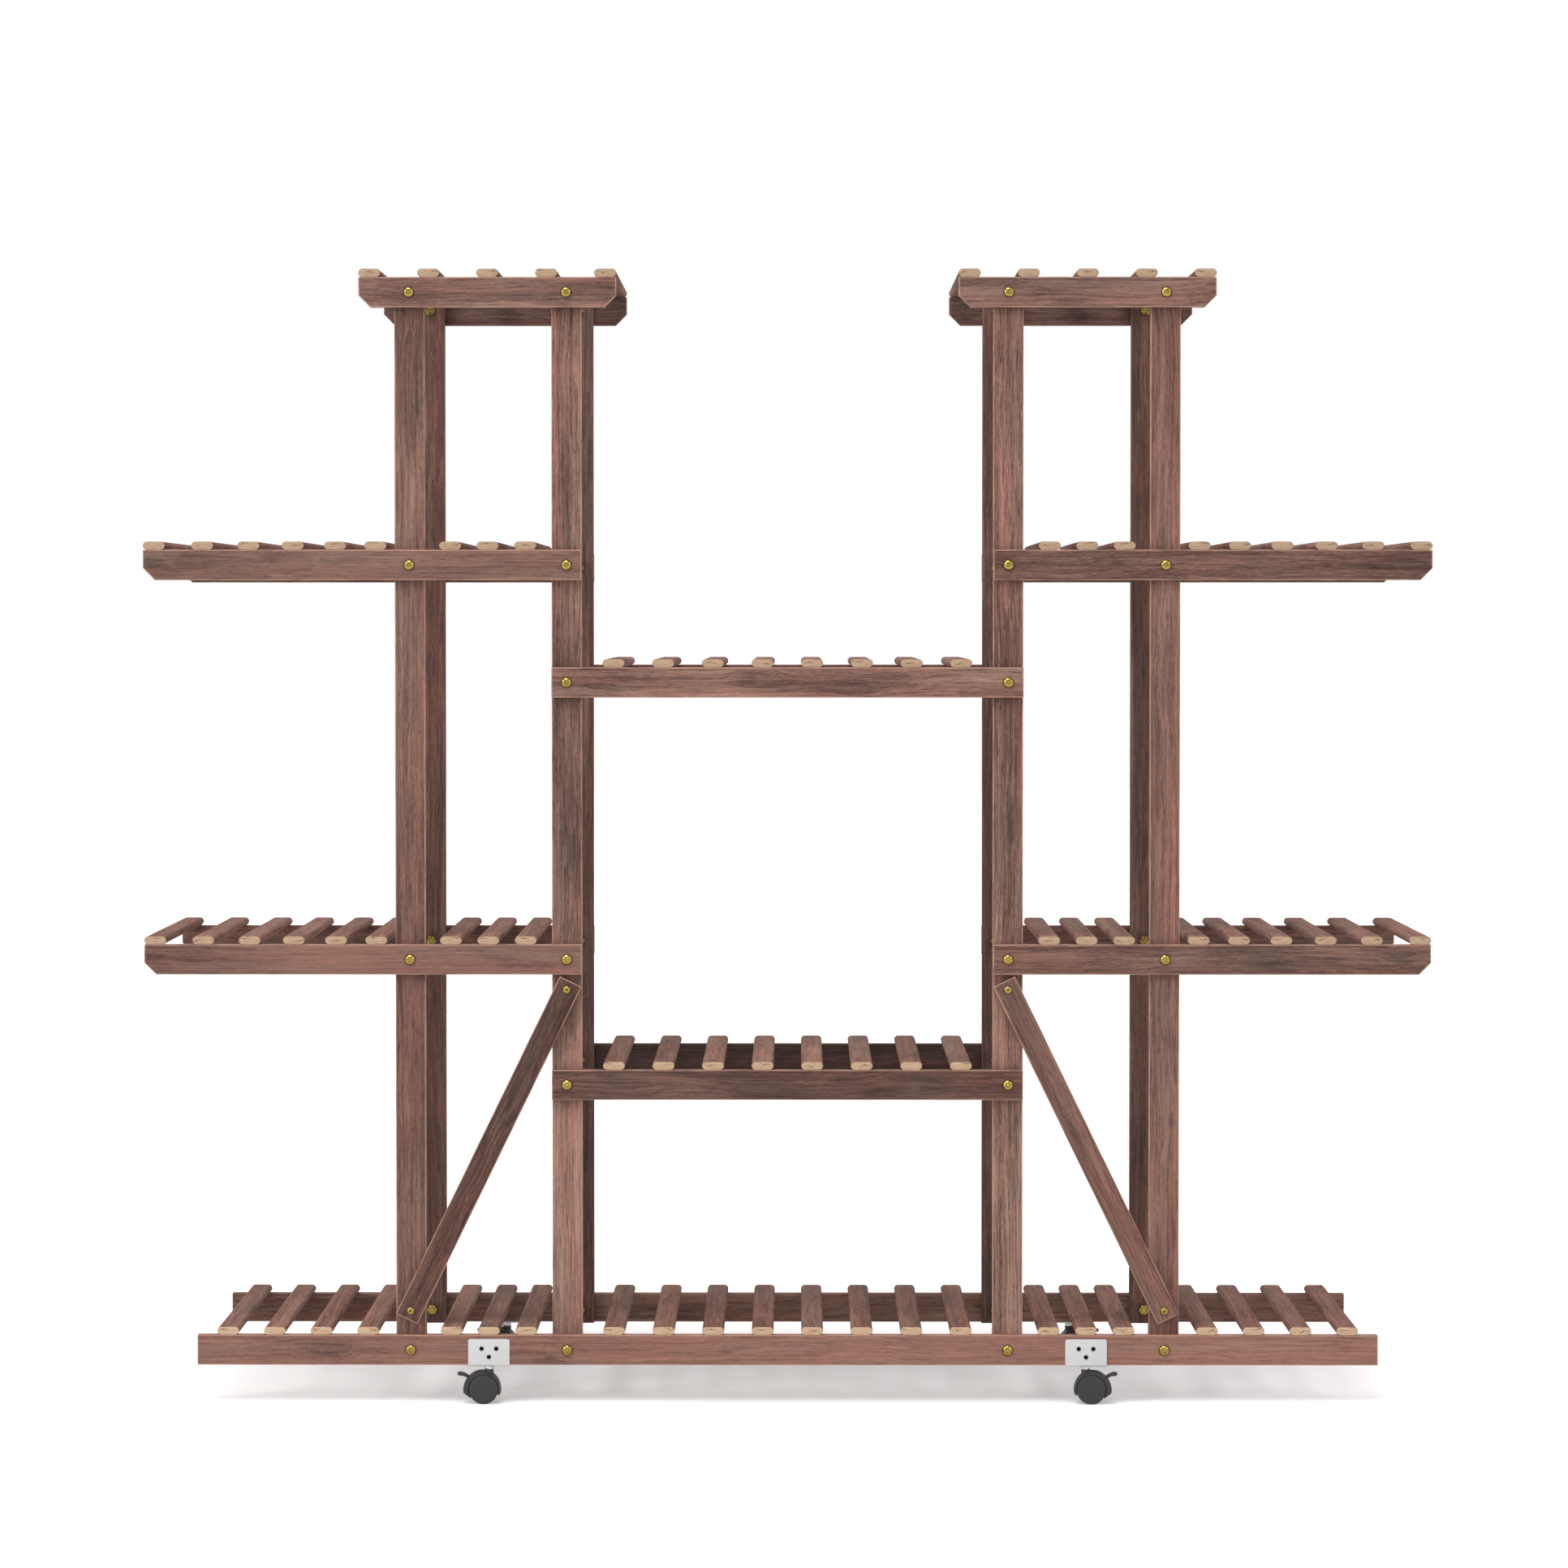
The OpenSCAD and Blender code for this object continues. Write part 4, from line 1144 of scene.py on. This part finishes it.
def wheel_mesh(name, node, soft):
    """Two turned wheels with a flat tread and face and a soft round edge between them."""
    shape = bmesh.new()
    steps, small = 72, 0.0005
    turns = [math.radians(a) for a in range(0, 91, 15)]
    both = middle(vertices(frame["nodes"][node].data))
    for solid in solids(node):
        low, high = ends(solid)
        centre = middle(solid)
        out = 1.0 if centre[1] > both[1] else -1.0
        radius = (high[2] - low[2]) / 2
        wide = high[1] - low[1]
        base = low[1] if out > 0 else high[1]
        profile = [(0.0, wide * 0.06), (radius * 0.30, wide * 0.06), (radius * 0.34, 0.0)]
        profile += [(radius - small * (1 - math.sin(a)), small * (1 - math.cos(a)))
                    for a in turns]
        profile += [(radius - soft * (1 - math.cos(a)), wide - soft * (1 - math.sin(a)))
                    for a in turns]
        profile += [(radius * 0.45, wide), (0.0, wide)]
        rings = []
        for r, depth in profile:
            angles = [2 * math.pi * k / steps for k in range(steps if r else 1)]
            rings.append([
                shape.verts.new((centre[0] + r * math.cos(a), base + out * depth,
                                 centre[2] + r * math.sin(a))) for a in angles])
        for first, second in zip(rings, rings[1:]):
            for k in range(steps):
                # A ring that is one point comes up twice here and is taken once
                places = ((first, k), (second, k), (second, k + 1), (first, k + 1))
                corners = [ring[place % len(ring)] for ring, place in places]
                shape.faces.new(tuple(dict.fromkeys(corners)))
    return mesh_from(name, shape, sharp=35)


def swept_bar(shape, pivot, outward, sections, power):
    """A bar whose sections are rounded boxes, from places along it in millimetres."""
    steps = 32
    rings = []
    for i, (out, up, thick, wide) in enumerate(sections):
        before, after = sections[max(i - 1, 0)], sections[min(i + 1, len(sections) - 1)]
        run = Vector((after[0] - before[0], after[1] - before[1])).normalized()
        ring = []
        for k in range(steps):
            turn = 2 * math.pi * (k + 0.5) / steps
            c, s = math.cos(turn), math.sin(turn)
            y = math.copysign(abs(c) ** (2 / power), c) * wide / 2
            t = math.copysign(abs(s) ** (2 / power), s) * thick / 2
            ring.append(shape.verts.new((
                pivot[0] + outward * (out - run.y * t) / 1000, pivot[1] + y / 1000,
                pivot[2] + (up + run.x * t) / 1000)))
        rings.append(ring)
    for first, second in zip(rings, rings[1:]):
        for k in range(steps):
            following = (k + 1) % steps
            shape.faces.new((first[k], first[following], second[following], second[k]))
    shape.faces.new(rings[0])
    shape.faces.new(rings[-1])


def lever_mesh(name, corner):
    """A brake lever: arm and paddle in one smooth sweep, cam nose, hub and pivot pins."""
    points = vertices(frame["nodes"][f"lever_{corner}"].data)
    joint = next(j for j in frame["joints"] if j["name"] == f"{corner}_brake")
    pivot = joint["pos_m"]
    outward = 1.0 if middle(points)[0] > pivot[0] else -1.0
    shape = bmesh.new()
    swept_bar(shape, pivot, outward, LEVER_SHAPE, power=3.2)
    swept_bar(shape, pivot, outward, NOSE_SHAPE, power=3.0)
    crosswise = Matrix.Translation(Vector(pivot)) @ Matrix.Rotation(math.pi / 2, 4, "X")
    for radius, depth in (HUB, (PIN_RADIUS, np.ptp(points[:, 1]))):
        turned = bmesh.ops.create_cone(
            shape, cap_ends=True, segments=24, radius1=radius, radius2=radius, depth=depth)
        bmesh.ops.transform(shape, matrix=crosswise, verts=turned["verts"])
    return mesh_from(name, shape, sharp=50)


class SceneCasters(bpy.types.Operator):
    """Build the hoods, the twin wheels and the brake levers"""

    bl_idname = "plant_stand.casters"
    bl_label = "Build casters"

    def execute(self, context):
        scene = context.scene
        materials = stand_materials(scene)
        caster = scene.stand_caster
        shell, face = materials["caster_shell"], materials["caster_face"]
        for corner in CORNERS:
            hood, wheels = f"hood_{corner}", f"wheels_{corner}"
            place_piece(eased_copy(f"shell_{corner}", hood, caster.ease), hood,
                        shell, f"caster_{corner}")
            place_piece(wheel_mesh(f"twin_{wheels}", wheels, caster.wheel_round), wheels,
                        face, wheels)
            place_piece(lever_mesh(f"brake_lever_{corner}", corner), f"lever_{corner}",
                        shell, f"brake_{corner}")
        return {"FINISHED"}


def soft_lamp(name, place, aim, size, strength):
    lamp = bpy.data.lights.new(name, "AREA")
    lamp.shape = "RECTANGLE"
    lamp.size, lamp.size_y = size
    lamp.energy = strength
    holder = bpy.data.objects.new(name, lamp)
    holder.location = place
    holder.rotation_euler = (Vector(aim) - Vector(place)).to_track_quat("-Z", "Y").to_euler()
    bpy.context.scene.collection.objects.link(holder)


def seen_directly(graph):
    """1 for rays from the camera, through glass or off metal, which see a plain white."""
    node = graph.add("ShaderNodeLightPath")
    camera, glossy, through = (
        Value(graph, node.outputs[f"Is {kind} Ray"])
        for kind in ("Camera", "Glossy", "Transmission"))
    return camera.at_least(glossy).at_least(through)


class SceneStudio(bpy.types.Operator):
    """Set the white floor, the soft lamps and the camera of the photograph"""

    bl_idname = "plant_stand.studio"
    bl_label = "Set studio"

    def execute(self, context):
        scene = context.scene
        studio = scene.stand_studio
        world = bpy.data.worlds.new("studio_dome")
        world.use_nodes = True
        scene.world = world
        graph = Graph(world.node_tree)
        graph.feed(world.node_tree.nodes["Background"], {
            "Color": WHITE,
            "Strength": seen_directly(graph).scaled(1.0 - studio.dome, studio.dome)})

        mesh = bpy.data.meshes.new("studio_floor")
        half = FLOOR_HALF
        mesh.from_pydata([(-half, -half, 0), (half, -half, 0), (half, half, 0),
                          (-half, half, 0)], [], [(0, 1, 2, 3)])
        floor = bpy.data.objects.new("studio_floor", mesh)
        scene.collection.objects.link(floor)
        graph, shader = new_material("studio_white")
        x, y, _ = graph.split(graph.object_place())
        # Painted light on the floor: its glow is weakest beside the stand so that the shadow
        # shows, grows away from it, and grows faster behind it, lightening the shadow of the slats
        # there
        away = graph.reach(x, y.at_least(y.scaled(6.0, -1.0)))
        glow = seen_directly(graph) * graph.ramp(
            away, 0.05, 1.7, studio.near_glow, studio.far_glow)
        # The floor's colour carries painted red bounce light from the wood
        graph.feed(shader, {
            "Base Color": FLOOR_WHITE_WITH_PAINTED_BOUNCE, "Roughness": 1.0, "Specular IOR Level": 0.0,
            "Emission Color": WHITE, "Emission Strength": glow})
        mesh.materials.append(bpy.data.materials["studio_white"])

        for name, (place, aim, size) in LAMPS.items():
            soft_lamp(f"lamp_{name}", place, aim, size, getattr(studio, name))

        view = bpy.data.cameras.new("photo_camera")
        view.sensor_width = 36.0
        view.sensor_fit = "HORIZONTAL"
        view.lens = studio.lens
        view.shift_y = studio.rise
        view.clip_end = 60.0
        camera = bpy.data.objects.new("photo_camera", view)
        camera.location = studio.eye
        camera.rotation_euler = (math.pi / 2 - studio.pitch, 0.0, studio.yaw)
        scene.collection.objects.link(camera)
        scene.camera = camera
        scene.view_settings.view_transform = "Standard"
        return {"FINISHED"}


class SceneSidebar(bpy.types.Panel):
    """Lists the stand's sizes, colours and building steps"""

    bl_idname = "VIEW3D_PT_plant_stand"
    bl_label = "Plant Stand"
    bl_space_type = "VIEW_3D"
    bl_region_type = "UI"
    bl_category = "Plant Stand"

    def draw(self, context):
        for step in STEPS:
            self.layout.operator(step.bl_idname)
        for group in GROUPS:
            box = self.layout.box()
            box.label(text=group.__doc__)
            for name in group.__annotations__:
                box.prop(getattr(context.scene, GROUPS[group]), name)


STEPS = (SceneBoards, SceneSlats, SceneFasteners, SceneBrackets, SceneCasters, SceneStudio)
GROUPS = {StandTimber: "stand_timber", StandMetal: "stand_metal",
          StandCaster: "stand_caster", StandStudio: "stand_studio"}


def register():
    for group, place in GROUPS.items():
        bpy.utils.register_class(group)
        setattr(bpy.types.Scene, place, bpy.props.PointerProperty(type=group))
    for step in (*STEPS, SceneSidebar):
        bpy.utils.register_class(step)


def unregister():
    for step in reversed((*STEPS, SceneSidebar)):
        bpy.utils.unregister_class(step)
    for group, place in GROUPS.items():
        delattr(bpy.types.Scene, place)
        bpy.utils.unregister_class(group)


def main():
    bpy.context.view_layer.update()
    register()
    bpy.ops.plant_stand.boards()
    bpy.ops.plant_stand.slats()
    bpy.ops.plant_stand.fasteners()
    bpy.ops.plant_stand.brackets()
    bpy.ops.plant_stand.casters()
    bpy.ops.plant_stand.studio()
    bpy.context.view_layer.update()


if __name__ == "__main__":
    main()
